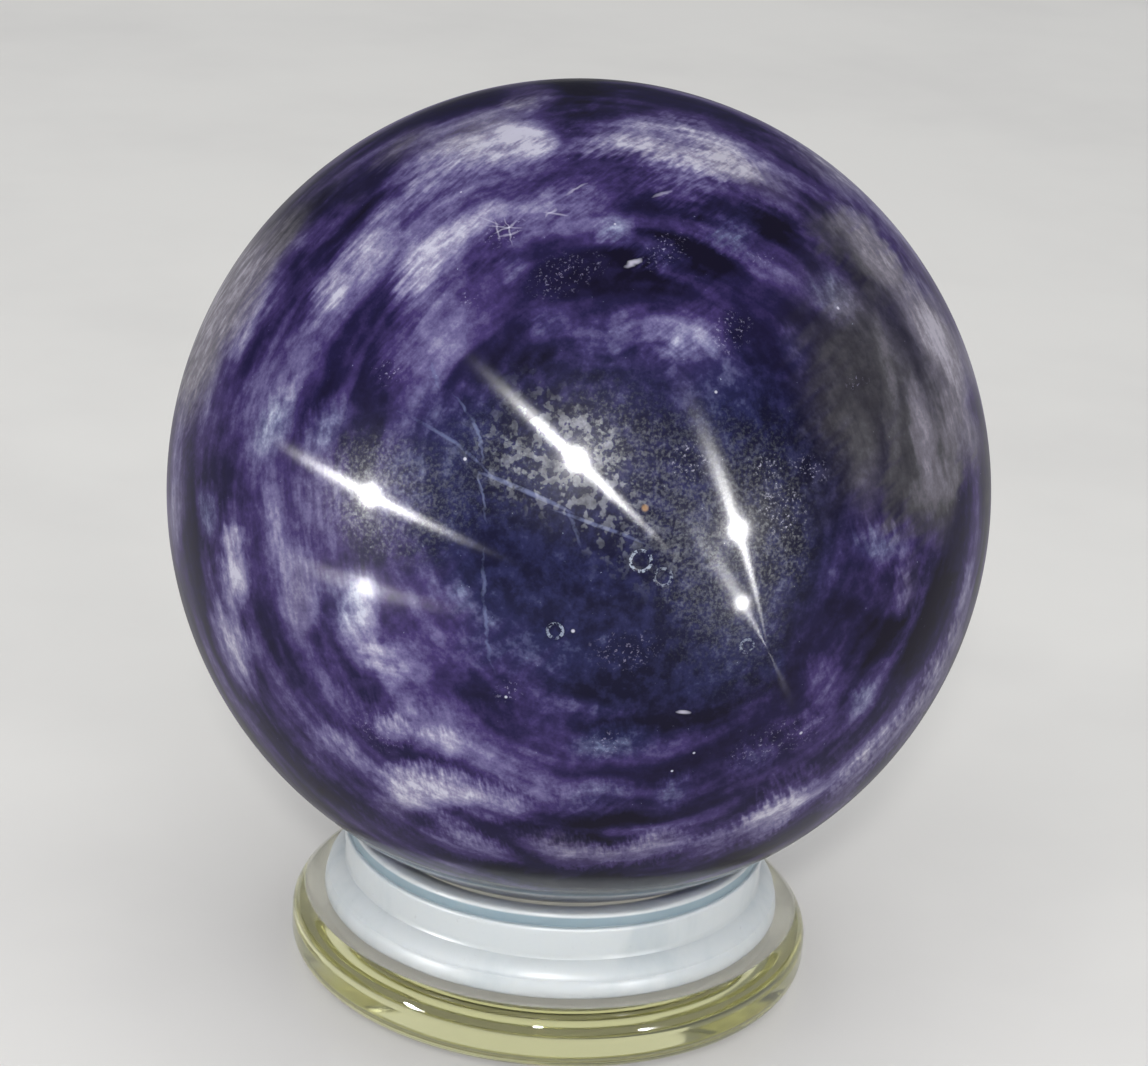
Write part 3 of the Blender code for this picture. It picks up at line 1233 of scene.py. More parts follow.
    def _clouded(self, canvas: Canvas) -> Value:
        """The stone's own colour: painted strokes in front, and clouds in rings all round.

        The clouds are faint where the strokes are, and stand alone on the side that the photograph hides.

        Args:
            canvas: the zone's graph and what it shares.

        Returns:
            The colour.
        """
        graph, noises = canvas.graph, canvas.noises
        veil, tone, hair = self._rings(canvas)
        strokes = self._strokes(canvas)
        units = ((1.0, 0.0, 0.0), (0.0, 1.0, 0.0), (0.0, 0.0, 1.0))
        light, grey, blue = (graph.vector("DOT_PRODUCT", strokes, unit) for unit in units)
        behind = 1.0 - canvas.front
        blue = blue + graph.vector("DOT_PRODUCT", tone, units[0]).rise(0.50, 0.64) * behind * self.far_tones
        grey = grey + graph.vector("DOT_PRODUCT", tone, units[1]).rise(0.54, 0.68) * behind * self.far_tones
        calm = 1.0 - (blue + grey).rise(0.2, 1.3) * 0.75
        drift = veil.rise(0.40, 0.76) * calm * (behind * self.far_veils + self.near_veils)
        murk = noises["mist"].rise(0.36, 0.72) * blue.rise(0.0, 1.0).times_plus(0.16, 0.05)
        grain = (hair - 0.5) * 0.5 + (noises["mist"] - 0.5) * 0.9 + (noises["dust"] - 0.5) * 0.4
        veiled = light.highest(0.0) ** self.veil_contrast
        lit = veiled / veiled.times_plus(self.veil_limit, 1.0) + drift + murk + self.ground_light
        light = lit * (grain + 1.0).highest(0.1) + light.lowest(0.0) * 0.6
        colour = graph.mix(
            blue.rise(0.0, 1.0), graph.ramp(light, PURPLE_RAMP), graph.ramp(light, FROSTED_RAMP),
        )
        return graph.mix(grey.rise(0.05, 1.2), colour, graph.ramp(light, GREY_RAMP))

    def _rings(self, canvas: Canvas) -> tuple[Value, Value, Value]:
        """Noise drawn out in rings round the axis of the banding.

        Args:
            canvas: the zone's graph and what it shares.

        Returns:
            The veils, the changes of tone as a colour, and the fine hairs.
        """
        graph, place, noises = canvas.graph, canvas.place, canvas.noises
        axis = tuple(self.view.on_ball(self.band_axis_px))
        bent = graph.vector("MULTIPLY_ADD", noises["wobble"], (self.band_wobble,) * 3, place)
        bent = graph.vector("SUBTRACT", bent, (self.band_wobble / 2.0,) * 3)
        lean = graph.vector("DOT_PRODUCT", bent, axis).lowest(1.0).highest(-1.0).angle()
        spread = graph.scaled(axis, lean)
        rings = graph.vector("MULTIPLY_ADD", spread, (self.bands_per_radian,) * 3, graph.scaled(bent, 1.5))
        hairs = graph.vector("MULTIPLY_ADD", spread, (self.hairs_per_radian,) * 3, graph.scaled(place, 7.0))
        veil = graph.noise(rings, 1.1, 2.0, 0.55)
        tone = graph.noise(graph.vector("ADD", rings, (3.1, 7.7, 1.9)), 0.7, 1.0, 0.5, output=1)
        hair = graph.noise(hairs, 1.0, 1.0, 0.6)
        return veil, tone, hair

    def _strokes(self, canvas: Canvas) -> Any:
        """What all strokes that reach the zone add.

        Args:
            canvas: the zone's graph and what it shares.

        Returns:
            The sums of light, grey and blue, as a link or as three numbers.
        """
        graph = canvas.graph
        added: Any = (0.0, 0.0, 0.0)
        for region in CLOUD_REGIONS:
            kept = region.within(self.zone)
            if kept.clouds:
                own_hair, inputs = self._brushed(canvas, region.brush)
                comb = region.brush.comb
                combed = own_hair.rise(0.25, 0.75).times_plus(comb, 1.0 - comb * 0.5)
                cover = graph.scaled(graph.group(kept.name, inputs, kept.cover), combed * canvas.front)
                added = graph.vector("ADD", cover, added)
        return added

    def _brush_axes(self, lean_deg: float) -> tuple[np.ndarray, np.ndarray, np.ndarray]:
        """The directions of hairs that lean by an angle in the photograph.

        Args:
            lean_deg: the angle, clockwise from level.

        Returns:
            The directions along the hairs, across them and into the ball.
        """
        right, up, back = self.view.axes
        lean = math.radians(lean_deg)
        along = right * math.cos(lean) - up * math.sin(lean)
        across = np.cross(back, along)
        return along, across, back

    def _brushed(self, canvas: Canvas, brush: Brush) -> tuple[Value, dict[str, Value]]:
        """Push the sheet along a brush's hairs, so that strokes get feathered edges.

        Args:
            canvas: the zone's graph and what it shares.
            brush: the brush.

        Returns:
            The hair noise, and the pushed point's x and y as a cloud takes them.
        """
        if brush not in canvas.brushed:
            graph = canvas.graph
            axes = Matrix(np.array(self._brush_axes(brush.lean_deg)).T.tolist())
            stretch = [size / self.view.ball_radius_px for size in brush.hair_px]
            hair = graph.noise(graph.drawn_out(canvas.place, axes, stretch), 1.0, 1.0, 0.6)
            lean = math.radians(brush.lean_deg)
            wobble = brush.wobble * PUSH_GAIN
            drift = graph.vector("MULTIPLY_ADD", canvas.noises["wobble"], (wobble,) * 3, (-wobble / 2.0,) * 3)
            push = (hair - 0.5) * (brush.reach * PUSH_GAIN)
            pushed = graph.scaled((math.cos(lean), math.sin(lean), 0.0), push)
            point = graph.vector("ADD", graph.vector("ADD", drift, canvas.sheet), pushed)
            x = graph.vector("DOT_PRODUCT", point, (1.0, 0.0, 0.0))
            y = graph.vector("DOT_PRODUCT", point, (0.0, 1.0, 0.0))
            inputs = {"Across": graph.combine(x, x, x), "Down": graph.combine(y, y, y)}
            canvas.brushed[brush] = hair, inputs
        return canvas.brushed[brush]

    def _cover(self, canvas: Canvas, marks: Marks) -> Optional[Value]:
        """How thickly marks lie on the front, or None where none of them reaches the zone.

        Args:
            canvas: the zone's graph and what it shares.
            marks: the marks.

        Returns:
            The sum of their strokes.
        """
        kept = marks.within(self.zone)
        if not kept.strokes:
            return None
        cover = canvas.graph.group(kept.name, self._brushed(canvas, marks.brush)[1], kept.cover)
        return canvas.graph.vector("DOT_PRODUCT", cover, (1.0, 0.0, 0.0)) * canvas.front

    def _tarnish_and_sheen(self, canvas: Canvas) -> Operand:
        """How tarnished the polish is, and where the lamps' glow round the streaks is painted: flecks and
        grit in the middle of the front.

        Args:
            canvas: the zone's graph and what it shares.

        Returns:
            A mask from 0 to 1.
        """
        noises = canvas.noises
        worn: Operand = 0.0
        islands = self._cover(canvas, TARNISH_AND_SHEEN_ISLANDS)
        if islands is not None:
            islands = islands.rise(0.0, 1.1)
            flecks = (noises["flock"] + islands * 0.11).rise(0.575, 0.625) * islands.rise(0.0, 0.5)
            worn = worn + flecks * noises["mist"].times_plus(1.6, -0.30)
        grit = self._cover(canvas, TARNISH_AND_SHEEN_GRIT)
        if grit is not None:
            grit = grit.rise(0.0, 1.1)
            worn = worn + (noises["dust"] + grit * 0.10).rise(0.50, 0.80) * grit.rise(0.0, 0.8) * 0.50
        return worn

    def _specks(self, canvas: Canvas, colour: Value) -> Value:
        """Single bright specks on the polish, and one painted orange glint.

        Args:
            canvas: the zone's graph and what it shares.
            colour: the colour so far.

        Returns:
            The colour with the specks on it.
        """
        outer, inner = self.speck_edge
        for tint in (Tint.CREST, Tint.AMBER):
            total: Operand = 0.0
            for centre, radius, own_tint in SPECKS:
                if own_tint is tint and self.zone.meets((*centre, *centre), self.speck_margin):
                    away = canvas.graph.vector("DISTANCE", canvas.place, tuple(self.view.on_ball(centre)))
                    total = total + away.rise(radius / outer, radius / inner)
            if isinstance(total, Value):
                colour = canvas.graph.mix(total * 0.9, colour, tint)
        return colour

    def _chip_rim_highlights_and_dust(self, canvas: Canvas, colour: Value) -> Value:
        """Painted highlights on the broken rims of the chips, and a thin scatter of bright dust.

        Args:
            canvas: the zone's graph and what it shares.
            colour: the colour so far.

        Returns:
            The colour with the painted rim highlights and the dust on it.
        """
        graph, noises = canvas.graph, canvas.noises
        bright = noises["dust"].rise(0.735, 0.80) * noises["mist"].rise(0.45, 0.55) * self.dust_cover
        for pit in PITS:
            if self.zone.meets((*pit.centre_px, *pit.centre_px), self.chip_margin):
                away = graph.vector("DISTANCE", canvas.place, tuple(self.view.on_ball(pit.centre_px)))
                # Painted highlight: a thin bright ring on each chip's rim, where the lamps would catch it
                rim = graph.math("COMPARE", away, pit.radius / self.view.ball_radius, self.rim_highlight_width)
                bright = bright + rim * noises["dust"].rise(0.42, 0.62) * pit.rim
        return graph.mix(bright.lowest(1.0), colour, Tint.ICE_CREST)

    def _uneven_polish(self, canvas: Canvas) -> Value:
        """The normal of a polish that is very slightly uneven."""
        waves = canvas.graph.noise(canvas.place, 90.0, 0.0, 0.6)
        return canvas.graph.bump(waves, self.unevenness, self.unevenness_depth)


# Meshes

ProfilePoint = tuple[float, float]


def arc(centre: ProfilePoint, radius: float, start_deg: float, end_deg: float,
        count: int) -> list[ProfilePoint]:
    """Points along an arc of a profile.

    Args:
        centre: the arc's centre, as radius and height.
        radius: its radius.
        start_deg: the angle of its first point, from the outward direction.
        end_deg: the angle of its last point.
        count: the number of points.

    Returns:
        The points, both ends included.
    """
    angles = np.radians(np.linspace(start_deg, end_deg, count))
    return [(centre[0] + radius * math.cos(a), centre[1] + radius * math.sin(a)) for a in angles]


def line(start: ProfilePoint, end: ProfilePoint, count: int) -> list[ProfilePoint]:
    """Points strictly between two ends of a straight stretch of a profile."""
    shares = np.linspace(0.0, 1.0, count + 2)[1:-1]
    return [(start[0] + (end[0] - start[0]) * s, start[1] + (end[1] - start[1]) * s) for s in shares]


def turned_object(name: str, profile: Sequence[ProfilePoint], steps: int, closed: bool,
                  sharp_deg: float) -> bpy.types.Object:
    """Turn a profile about the Z axis into a mesh object.

    Args:
        name: the object's name.
        profile: points of radius and height. A radius of 0 becomes one point on the axis.
        steps: the number of steps round the axis.
        closed: whether the last point joins the first.
        sharp_deg: the angle between faces above which an edge stays sharp.

    Returns:
        The new object, linked to the scene.
    """
    build = bmesh.new()
    rings = []
    for radius, height in profile:
        if radius <= 0.0:
            rings.append([build.verts.new((0.0, 0.0, height))] * steps)
            continue
        turns = [math.tau * step / steps for step in range(steps)]
        rings.append([build.verts.new((radius * math.cos(t), radius * math.sin(t), height)) for t in turns])
    pairs = list(zip(rings, rings[1:]))
    if closed:
        pairs.append((rings[-1], rings[0]))
    for low, high in pairs:
        for step in range(steps):
            following = (step + 1) % steps
            corners = [low[step], low[following], high[following], high[step]]
            build.faces.new(list(dict.fromkeys(corners)))
    bmesh.ops.recalc_face_normals(build, faces=build.faces)
    mesh = bpy.data.meshes.new(name)
    build.to_mesh(mesh)
    build.free()
    mesh.shade_smooth()
    mesh.set_sharp_from_angle(angle=math.radians(sharp_deg))
    piece = bpy.data.objects.new(name, mesh)
    bpy.context.scene.collection.objects.link(piece)
    return piece


def seat(piece: bpy.types.Object, node: str) -> bpy.types.Object:
    """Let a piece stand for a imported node, on the body that carries it.

    Args:
        piece: the finished piece.
        node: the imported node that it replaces.

    Returns:
        The same piece.
    """
    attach(piece, "root")
    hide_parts(node)
    return piece


# The pieces

@dataclass
class StoneBall:
    """The polished fluorite ball, with the small chips in its polish."""

    view: PhotoView
    radius: float = 40.0 * MM
    centre_z: float = 50.0 * MM
    grid: int = 84
    scratch_axis_turn_deg: float = 90.0
    pits: tuple[Pit, ...] = PITS
    pit_refinement: int = 5
    pit_surround: float = 2.2
    front_edge: float = 0.02

    def turn(self) -> Matrix:
        """The rotation that lays the ball's own Z axis on -Y, which the polishing scratches run round."""
        return Matrix.Rotation(math.radians(self.scratch_axis_turn_deg), 3, "X")

    def build(self) -> bpy.types.Object:
        """Make the ball's mesh and dress it.

        Returns:
            The finished ball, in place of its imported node.
        """
        turn = self.turn()
        mesh = self._mesh(turn)
        for zone in (FAR_SIDE, *ZONES):
            mesh.materials.append(PolishedFluorite(self.view, turn, zone).build())
        self._share_out(mesh, turn)
        ball = bpy.data.objects.new("polished_ball", mesh)
        bpy.context.scene.collection.objects.link(ball)
        ball.matrix_world = Matrix.Translation((0.0, 0.0, self.centre_z)) @ turn.to_4x4()
        return seat(ball, "sphere")

    def _mesh(self, turn: Matrix) -> bpy.types.Mesh:
        """An even grid of faces drawn onto the ball, finer where a chip is.

        Args:
            turn: the ball's rotation.

        Returns:
            The mesh in the ball's own axes.
        """
        centres = [turn.inverted() @ Vector(self.view.on_ball(pit.centre_px).tolist()) for pit in self.pits]
        build = bmesh.new()
        bmesh.ops.create_cube(build, size=2.0)
        bmesh.ops.subdivide_edges(build, edges=build.edges, cuts=self.grid - 1, use_grid_fill=True)
        # Equal steps of angle, not of length, keep the faces of the ball nearly one size
        for vertex in build.verts:
            vertex.co = Vector([math.tan(math.pi / 4.0 * share) for share in vertex.co]).normalized()
        self._refine(build, centres)
        for vertex in build.verts:
            vertex.co.normalize()
        mesh = bpy.data.meshes.new("polished_ball")
        build.to_mesh(mesh)
        build.free()
        self._chip(mesh, centres)
        return mesh

    def _share_out(self, mesh: bpy.types.Mesh, turn: Matrix) -> None:
        """Give each face its zone's material.

        Args:
            mesh: the ball's mesh, with a material for the far side and one for each zone.
            turn: the ball's rotation.
        """
        middles = np.empty(len(mesh.polygons) * 3)
        mesh.polygons.foreach_get("center", middles)
        directions = middles.reshape(-1, 3) @ np.array(turn).T
        directions /= np.linalg.norm(directions, axis=1)[:, None]
        x, y = self.view.seen_at(directions).T
        slots = np.zeros(len(directions), dtype=np.int32)
        for slot, zone in enumerate(ZONES, start=1):
            slots[(x >= zone.left) & (x < zone.right) & (y >= zone.top) & (y < zone.bottom)] = slot
        slots[directions @ self.view.axes[2] < -self.front_edge] = 0
        mesh.polygons.foreach_set("material_index", slots)

    def _refine(self, build: bmesh.types.BMesh, centres: Sequence[Vector]) -> None:
        """Split the faces round each chip.

        Args:
            build: the mesh that is being built.
            centres: the chips' directions in the ball's own axes.
        """
        reaches = [self.pit_surround * pit.radius / self.radius for pit in self.pits]
        near = set()
        for face in build.faces:
            middle = face.calc_center_median()
            if any((middle - centre).length < reach for centre, reach in zip(centres, reaches)):
                near.update(face.edges)
        bmesh.ops.subdivide_edges(build, edges=list(near), cuts=self.pit_refinement, use_grid_fill=True)

    def _chip(self, mesh: bpy.types.Mesh, centres: Sequence[Vector]) -> None:
        """Press the chips in and give every point its exact normal.

        Args:
            mesh: the ball's mesh, on the unit ball.
            centres: the chips' directions in the ball's own axes.
        """
        points = np.empty(len(mesh.vertices) * 3)
        mesh.vertices.foreach_get("co", points)
        points = points.reshape(-1, 3)
        points /= np.linalg.norm(points, axis=1)[:, None]
        normals = points.copy()
        heights = np.full(len(points), self.radius)
        for pit, centre in zip(self.pits, centres):
            direction = np.array(centre)
            away = points - direction
            distance = np.linalg.norm(away, axis=1) * self.radius
            # A dip with a flat floor, and the slope of its wall
            share = distance / pit.radius
            drop = pit.depth * np.exp(-share ** 4)
            slope = -4.0 * share ** 3 / pit.radius * drop
            heights -= drop
            outward = away / np.maximum(np.linalg.norm(away, axis=1), 1e-9)[:, None]
            normals += outward * slope[:, None]
        normals /= np.linalg.norm(normals, axis=1)[:, None]
        mesh.vertices.foreach_set("co", (points * heights[:, None]).ravel())
        mesh.update()
        mesh.shade_smooth()
        mesh.normals_split_custom_set_from_vertices(normals.tolist())


@dataclass(frozen=True)
class MilkyPlastic:
    """Soft white moulded plastic that lets a little light through, thinner at the lip and painted bluer there
    as shade.
    """

    band_foot: float
    band_top: float
    roughness: float = 0.42
    ior: float = 1.5
    gloss: float = 0.22
    roughness_spread: float = 0.10
    see_in: float = 0.70
    see_in_depth: float = 2.4 * MM
    see_in_tint: tuple[float, float, float] = (1.0, 1.05, 1.15)
    band_edge: float = 0.12 * MM
    grain_depth: float = 0.02 * MM

    def build(self) -> bpy.types.Material:
        """Write the material.

        Returns:
            The ring's material.
        """
        material, graph = new_material("milky_plastic")
        place = graph.node("ShaderNodeTexCoord", {}, {}, "Object")
        height = graph.vector("DOT_PRODUCT", place, (0.0, 0.0, 1.0))
        see_through_shade_band = height.rise(self.band_foot - self.band_edge, self.band_foot + self.band_edge)
        see_through_shade_band = see_through_shade_band * height.rise(self.band_top + self.band_edge, self.band_top - self.band_edge)
        flow = graph.noise(graph.vector("MULTIPLY", place, (1.0, 1.0, 0.35)), 160.0, 4.0, 0.6)
        dust = graph.noise(place, 1500.0, 3.0, 0.7)
        # Painted shade: the lip's band is tinted ice-grey for the dark inside seen through the thin wall
        colour = graph.mix(see_through_shade_band * 0.95, Tint.MILK, Tint.ICE)
        colour = graph.mix(flow.rise(0.45, 0.75) * 0.25, colour, Tint.ICE)
        colour = graph.mix(dust.rise(0.66, 0.74) * 0.20, colour, Tint.ASH)
        smoothest = self.roughness - self.roughness_spread / 2.0
        grain = graph.noise(place, 900.0, 3.0, 0.6)
        waves = graph.noise(graph.vector("MULTIPLY", place, (1.0, 1.0, 3.0)), 220.0, 2.0, 0.5)
        shader = graph.principled({
            "Base Color": colour,
            "Roughness": flow.rise(0.3, 0.7) * self.roughness_spread + smoothest,
            "IOR": self.ior,
            "Specular IOR Level": self.gloss,
            "Subsurface Weight": self.see_in,
            "Subsurface Radius": self.see_in_tint,
            "Subsurface Scale": self.see_in_depth,
            "Normal": graph.bump(grain * 0.4 + waves * 2.0, 0.5, self.grain_depth),
        })
        graph.output("ShaderNodeOutputMaterial", {"Surface": shader})
        return material


@dataclass
class SealRing:
    """The moulded ring under the ball: a flat lip, a straight wall and a flared skirt."""

    foot_z: float = 6.5 * MM
    lip_radius: float = 20.9 * MM
    lip_band: float = 1.35 * MM
    lip_rounding: float = 0.35 * MM
    wall_top_radius: float = 21.3 * MM
    wall_foot_radius: float = 21.1 * MM
    shoulder_rounding: float = 0.3 * MM
    skirt_radius: float = 23.1 * MM
    skirt_curve: float = 3.5 * MM
    skirt_start_deg: float = 62.0
    skirt_rounding: float = 0.2 * MM
    inner_foot_radius: float = 18.8 * MM
    seat_angle_deg: float = 27.8
    seat_half_width: float = 0.35 * MM
    ball_radius: float = 40.0 * MM
    ball_centre_z: float = 50.0 * MM
    rest_gap: float = 0.3 * MM
    fine_line_deg: float = 26.0
    fine_line_width_deg: float = 2.2
    fine_line_lift: float = 0.022
    steps: int = 256
    sharp_deg: float = 35.0

    def _seat_ends(self) -> tuple[ProfilePoint, ProfilePoint]:
        """The slope that carries the ball.

        Returns:
            Its lower and its upper end.
        """
        angle = math.radians(self.seat_angle_deg)
        reach = self.ball_radius + self.rest_gap
        middle = (reach * math.sin(angle), self.ball_centre_z - reach * math.cos(angle))
        slope = (math.cos(angle) * self.seat_half_width, math.sin(angle) * self.seat_half_width)
        return (middle[0] - slope[0], middle[1] - slope[1]), (middle[0] + slope[0], middle[1] + slope[1])

    @property
    def lip_z(self) -> float:
        """Height of the lip's flat top."""
        return self._seat_ends()[1][1]

    def profile(self) -> list[ProfilePoint]:
        """The ring's cross-section, from its lip down the outside and up the bore.

        Returns:
            The points of the closed outline.
        """
        seat_low, seat_high = self._seat_ends()
        shoulder_z = self.lip_z - self.lip_band
        skirt_centre = (self.skirt_radius - self.skirt_curve, self.foot_z + self.skirt_rounding)
        edge_centre = (self.lip_radius - self.lip_rounding, self.lip_z - self.lip_rounding)
        shoulder_centre = (self.wall_top_radius - self.shoulder_rounding, shoulder_z - self.shoulder_rounding)
        foot_centre = (self.skirt_radius - self.skirt_rounding, self.foot_z + self.skirt_rounding)
        skirt = arc(skirt_centre, self.skirt_curve, self.skirt_start_deg, 0.0, 32)
        skirt = self._with_fine_line(skirt, skirt_centre)

        points = [seat_high]
        points += arc(edge_centre, self.lip_rounding, 90.0, 0.0, 9)
        points += line(points[-1], (self.lip_radius, shoulder_z), 4)
        points.append((self.lip_radius, shoulder_z))
        points += arc(shoulder_centre, self.shoulder_rounding, 75.0, 0.0, 7)
        wall_foot = (self.wall_foot_radius, skirt[0][1] + self.shoulder_rounding)
        points += line(points[-1], wall_foot, 8)
        points.append(wall_foot)
        points += skirt
        points += arc(foot_centre, self.skirt_rounding, -20.0, -90.0, 6)
        points.append((self.inner_foot_radius, self.foot_z))
        points += line(points[-1], seat_low, 4)
        points.append(seat_low)
        return points

    def _with_fine_line(self, skirt: list[ProfilePoint], centre: ProfilePoint) -> list[ProfilePoint]:
        """Raise the thin moulded line that runs round the skirt.

        Args:
            skirt: the points of the skirt's plain curve.
            centre: the curve's centre.

        Returns:
            The points with the line raised.
        """
        raised = []
        for radius, height in skirt:
            angle = math.degrees(math.atan2(height - centre[1], radius - centre[0]))
            aside = (angle - self.fine_line_deg) / self.fine_line_width_deg
            lift = 1.0 + self.fine_line_lift * math.exp(-aside ** 2)
            raised.append((centre[0] + (radius - centre[0]) * lift, centre[1] + (height - centre[1]) * lift))
        return raised

    def build(self) -> bpy.types.Object:
        """Make and dress the ring.

        Returns:
            The finished ring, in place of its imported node.
        """
        ring = turned_object("seal_ring", self.profile(), self.steps, True, self.sharp_deg)
        finish = MilkyPlastic(self.lip_z - self.lip_band, self.lip_z - self.lip_rounding)
        ring.data.materials.append(finish.build())
        # Light passes through the milky wall, so the ring casts no solid shadow on the glass
        ring.visible_shadow = False
        return seat(ring, "plastic_ring")


@dataclass(frozen=True)
class GreenGlass:
    """Thick clear glass with the yellow-green cast of its rim."""

    ior: float = 1.52
    roughness: float = 0.02
    smear_roughness: float = 0.06
    absorption: tuple[float, float, float] = (0.70, 0.69, 0.28)
    density: float = 25.0

    def build(self) -> bpy.types.Material:
        """Write the material.

        Returns:
            The disc's material.
        """
        material, graph = new_material("green_glass")
        place = graph.node("ShaderNodeTexCoord", {}, {}, "Object")
        smear = graph.noise(place, 130.0, 1.0, 0.6)
        shader = graph.principled({
            "Base Color": (1.0, 1.0, 1.0, 1.0),
            "Roughness": smear.rise(0.5, 0.8).times_plus(self.smear_roughness, self.roughness),
            "IOR": self.ior,
            "Transmission Weight": 1.0,
        })
        inside = graph.node("ShaderNodeVolumeAbsorption", {}, {
            "Color": (*self.absorption, 1.0),
            "Density": self.density,
        }, "Volume")
        graph.output("ShaderNodeOutputMaterial", {"Surface": shader, "Volume": inside})
        return material


@dataclass
class GlassDisc:
    """The thick round glass disc that the ring stands on."""

    radius: float = 26.3 * MM
    thickness: float = 6.2 * MM
    top_rounding: float = 2.6 * MM
    foot_rounding: float = 2.3 * MM
    steps: int = 256
    sharp_deg: float = 40.0

    def profile(self) -> list[ProfilePoint]:
        """Half of the disc's outline, from the middle of its top to the middle of its foot.

        Returns:
            The points of the open outline.
        """
        top_centre = (self.radius - self.top_rounding, self.thickness - self.top_rounding)
        foot_centre = (self.radius - self.foot_rounding, self.foot_rounding)
        points = [(0.0, self.thickness)]
        points += line(points[0], (top_centre[0], self.thickness), 6)
        points += arc(top_centre, self.top_rounding, 90.0, 0.0, 24)
        points += arc(foot_centre, self.foot_rounding, 0.0, -90.0, 22)
        points += line(points[-1], (0.0, 0.0), 6)
        points.append((0.0, 0.0))
        return points

    def build(self) -> bpy.types.Object:
        """Make and dress the disc.

        Returns:
            The finished disc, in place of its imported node.
        """
        disc = turned_object("thick_glass_disc", self.profile(), self.steps, False, self.sharp_deg)
        disc.data.materials.append(GreenGlass().build())
        # Clear glass would otherwise shade the floor like a solid, as caustics are off
        disc.visible_shadow = False
        return seat(disc, "glass_disc")


# The studio

@dataclass(frozen=True)
class Lamp:
    """A bulb in a round shade, placed where the ball shows its mirror image in the photograph.

    Its light is what falls on the ball, in watts per square metre. Its mirror image is stronger than that
    by the sparkle, so that it can show as bright streaks without flooding the stone with light. The angles
    are the widths of the bulb and the shade as the ball sees them.
    """

    name: str
    image_px: Pixel
    light: float
    distance: float
    bulb_angle: float = 0.036
    shade_angle: float = 0.080
    bulb_share: float = 0.68
    sparkle: float = 9.5
    only_mirrored: bool = False


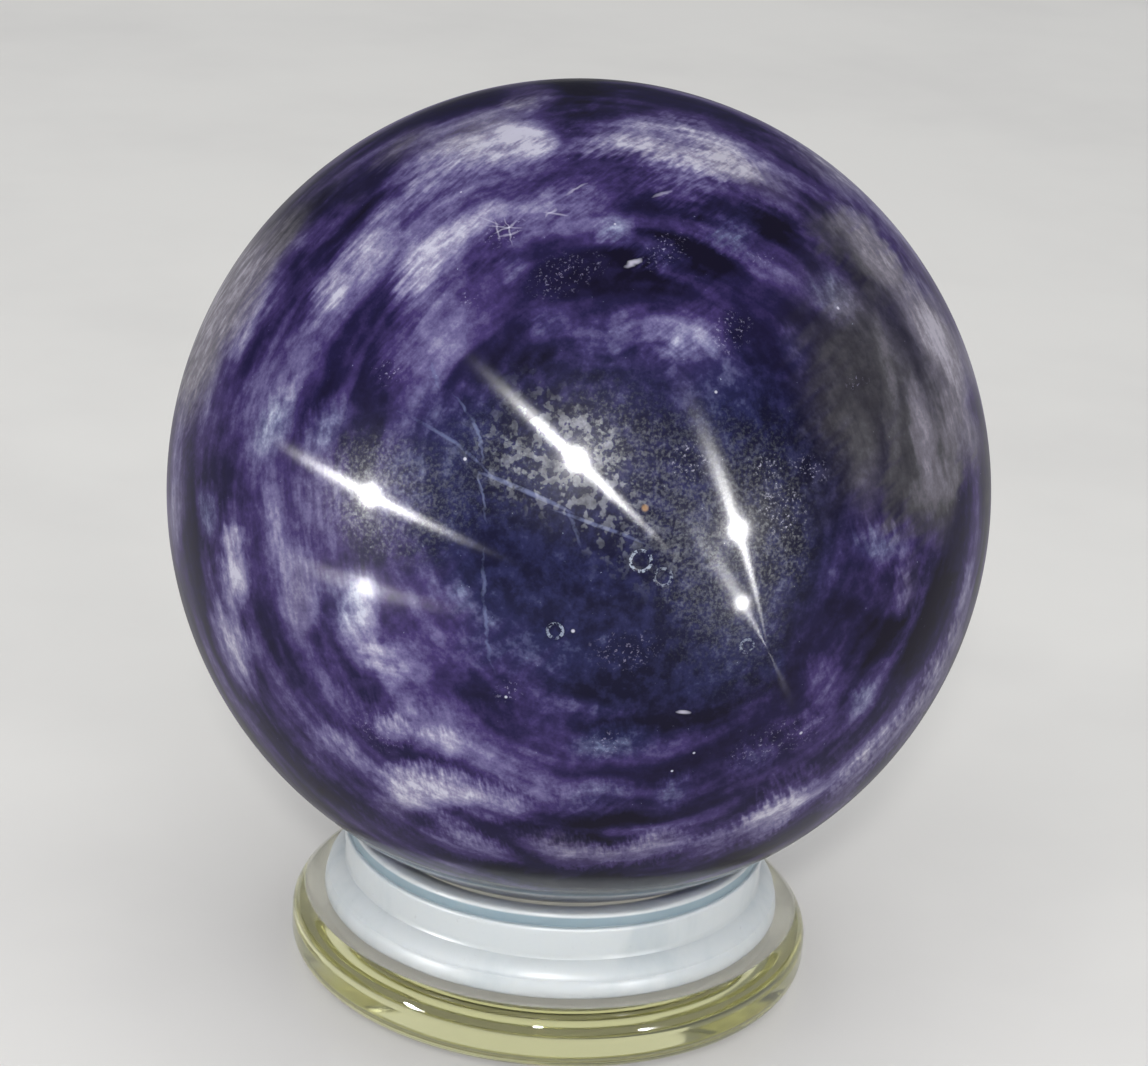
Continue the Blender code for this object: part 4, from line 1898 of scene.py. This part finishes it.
@dataclass
class Studio:
    """A plain pale floor, soft light all round and the lamps whose streaks show on the ball."""

    view: PhotoView
    pieces: Sequence[bpy.types.Object]
    floor_half: float = 6.0
    floor_gloss: float = 0.25
    floor_polish: float = 0.05
    floor_roughness: float = 0.42
    floor_mottle: float = 0.10
    floor_ior: float = 1.45
    floor_drop: float = 0.02 * MM
    sky_strength: float = 0.40
    lamps: tuple[Lamp, ...] = (
        Lamp("lamp_over_camera", (577.0, 460.0), 1.15, 0.5),
        Lamp("lamp_right", (738.0, 530.0), 0.80, 3.0, sparkle=7.5),
        Lamp("lamp_left", (370.0, 495.0), 0.80, 0.8),
        Lamp("low_glint_right", (742.0, 603.0), 0.30, 0.15, sparkle=7.0, only_mirrored=True),
        Lamp("low_glint_left", (365.0, 587.0), 0.32, 0.15, bulb_angle=0.080, shade_angle=0.180,
             bulb_share=0.75, sparkle=6.0, only_mirrored=True),
    )
    bulb_reach: float = 0.98
    shade_reach: float = 0.99
    inner_bounces: int = 16
    soft_bounces: int = 3
    fill_angle_deg: float = 85.0
    fills: tuple[tuple[tuple[float, float, float], float], ...] = (
        ((-0.45, -0.70, 1.0), 1.45), ((0.75, 0.60, 0.9), 0.80),
    )

    def build(self) -> None:
        """Lay the floor, light the air and hang the lamps."""
        light_paths = bpy.context.scene.cycles
        light_paths.glossy_bounces = self.inner_bounces
        light_paths.max_bounces = self.inner_bounces
        light_paths.diffuse_bounces = self.soft_bounces
        light_paths.caustics_refractive = False
        light_paths.caustics_reflective = False
        self._floor()
        self._sky()
        mirrors = bpy.data.collections.new("pieces_that_mirror_the_lamps")
        for piece in self.pieces:
            mirrors.objects.link(piece)
        for lamp in self.lamps:
            self._hang(lamp, mirrors)
        for direction, power in self.fills:
            self._fill(Vector(direction), power)

    def _floor(self) -> bpy.types.Object:
        """The pale floor, a hair below the disc so that the glass stays closed.

        Returns:
            The floor.
        """
        half = self.floor_half
        mesh = bpy.data.meshes.new("pale_floor")
        sides = ((-half, -half), (half, -half), (half, half), (-half, half))
        corners = [(x, y, -self.floor_drop) for x, y in sides]
        mesh.from_pydata(corners, [], [(0, 1, 2, 3)])
        material, graph = new_material("pale_floor")
        place = graph.node("ShaderNodeTexCoord", {}, {}, "Object")
        mottle = graph.noise(place, 14.0, 4.0, 0.55)
        colour = graph.mix(mottle.rise(0.35, 0.8) * self.floor_mottle, Tint.STUDIO_FLOOR, Tint.ASH)
        shader = graph.principled({
            "Base Color": colour,
            "Roughness": mottle * self.floor_mottle + self.floor_roughness,
            "IOR": self.floor_ior,
            "Coat Weight": self.floor_gloss,
            "Coat Roughness": self.floor_polish,
        })
        graph.output("ShaderNodeOutputMaterial", {"Surface": shader})
        mesh.materials.append(material)
        floor = bpy.data.objects.new("pale_floor", mesh)
        bpy.context.scene.collection.objects.link(floor)
        return floor

    def _sky(self) -> None:
        """Soft daylight, bright overhead and dim near the horizon."""
        world = bpy.data.worlds.new("soft_daylight")
        world.use_nodes = True
        bpy.context.scene.world = world
        graph = ShaderGraph(world.node_tree)
        direction = graph.node("ShaderNodeTexCoord", {}, {}, "Generated")
        height = graph.vector("DOT_PRODUCT", direction, (0.0, 0.0, 1.0))
        colour = graph.mix(height.rise(0.05, 0.85), Tint.DUSK, Tint.DAYLIGHT)
        glow = graph.node("ShaderNodeBackground", {}, {"Color": colour, "Strength": self.sky_strength})
        graph.output("ShaderNodeOutputWorld", {"Surface": glow})

    def _hang(self, lamp: Lamp, mirrors: bpy.types.Collection) -> None:
        """Hang one lamp, facing the ball: its light, and its bulb and shade as the ball mirrors them.

        Args:
            lamp: the lamp.
            mirrors: the pieces that the bulb and the shade are mirrored in, which leaves out the floor.
        """
        power = lamp.light * math.pi * lamp.distance ** 2
        mirrored = power * lamp.sparkle
        parts = [
            ("bulb", lamp.bulb_angle, mirrored * lamp.bulb_share, self.bulb_reach, True),
            ("shade", lamp.shade_angle, mirrored * (1.0 - lamp.bulb_share), self.shade_reach, True),
        ]
        if not lamp.only_mirrored:
            parts.append(("light", lamp.shade_angle, power, 1.0, False))
        normal = Vector(self.view.on_ball(lamp.image_px).tolist())
        mirror_point = Vector(self.view.ball_centre) + normal * self.view.ball_radius
        direction = Vector(self.view.mirrored_at(lamp.image_px).tolist())
        pose = direction.to_track_quat("Z", "Y").to_matrix().to_4x4()
        for name, angle, part_power, reach, mirror_only in parts:
            data = bpy.data.lights.new(f"{lamp.name}_{name}", "AREA")
            data.shape = "DISK"
            data.size = angle * lamp.distance
            data.energy = part_power
            light = bpy.data.objects.new(f"{lamp.name}_{name}", data)
            bpy.context.scene.collection.objects.link(light)
            pose.translation = mirror_point + direction * lamp.distance * reach
            light.matrix_world = pose
            light.visible_glossy = mirror_only
            light.visible_diffuse = not mirror_only
            light.visible_transmission = not mirror_only
            if mirror_only:
                light.light_linking.receiver_collection = mirrors

    def _fill(self, direction: Vector, power: float) -> None:
        """Fill the shadows from one side with very soft light that shows no mirror image.

        Args:
            direction: where the light comes from.
            power: its strength in watts per square metre.
        """
        data = bpy.data.lights.new("soft_fill", "SUN")
        data.energy = power
        data.angle = math.radians(self.fill_angle_deg)
        light = bpy.data.objects.new("soft_fill", data)
        bpy.context.scene.collection.objects.link(light)
        light.matrix_world = direction.to_track_quat("Z", "Y").to_matrix().to_4x4()
        light.visible_glossy = False


def main() -> None:
    """Build the view, the pieces from the floor up, and the studio."""
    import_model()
    view = PhotoView()
    view.build()
    pieces = [builder.build() for builder in (GlassDisc(), SealRing(), StoneBall(view))]
    for piece in pieces:
        LOG.info("%s has %d faces", piece.name, len(piece.data.polygons))
    Studio(view, pieces).build()
    bpy.context.scene.view_settings.view_transform = "Standard"


if __name__ == "__main__":
    logging.basicConfig(level=logging.INFO, format="%(message)s")
    main()
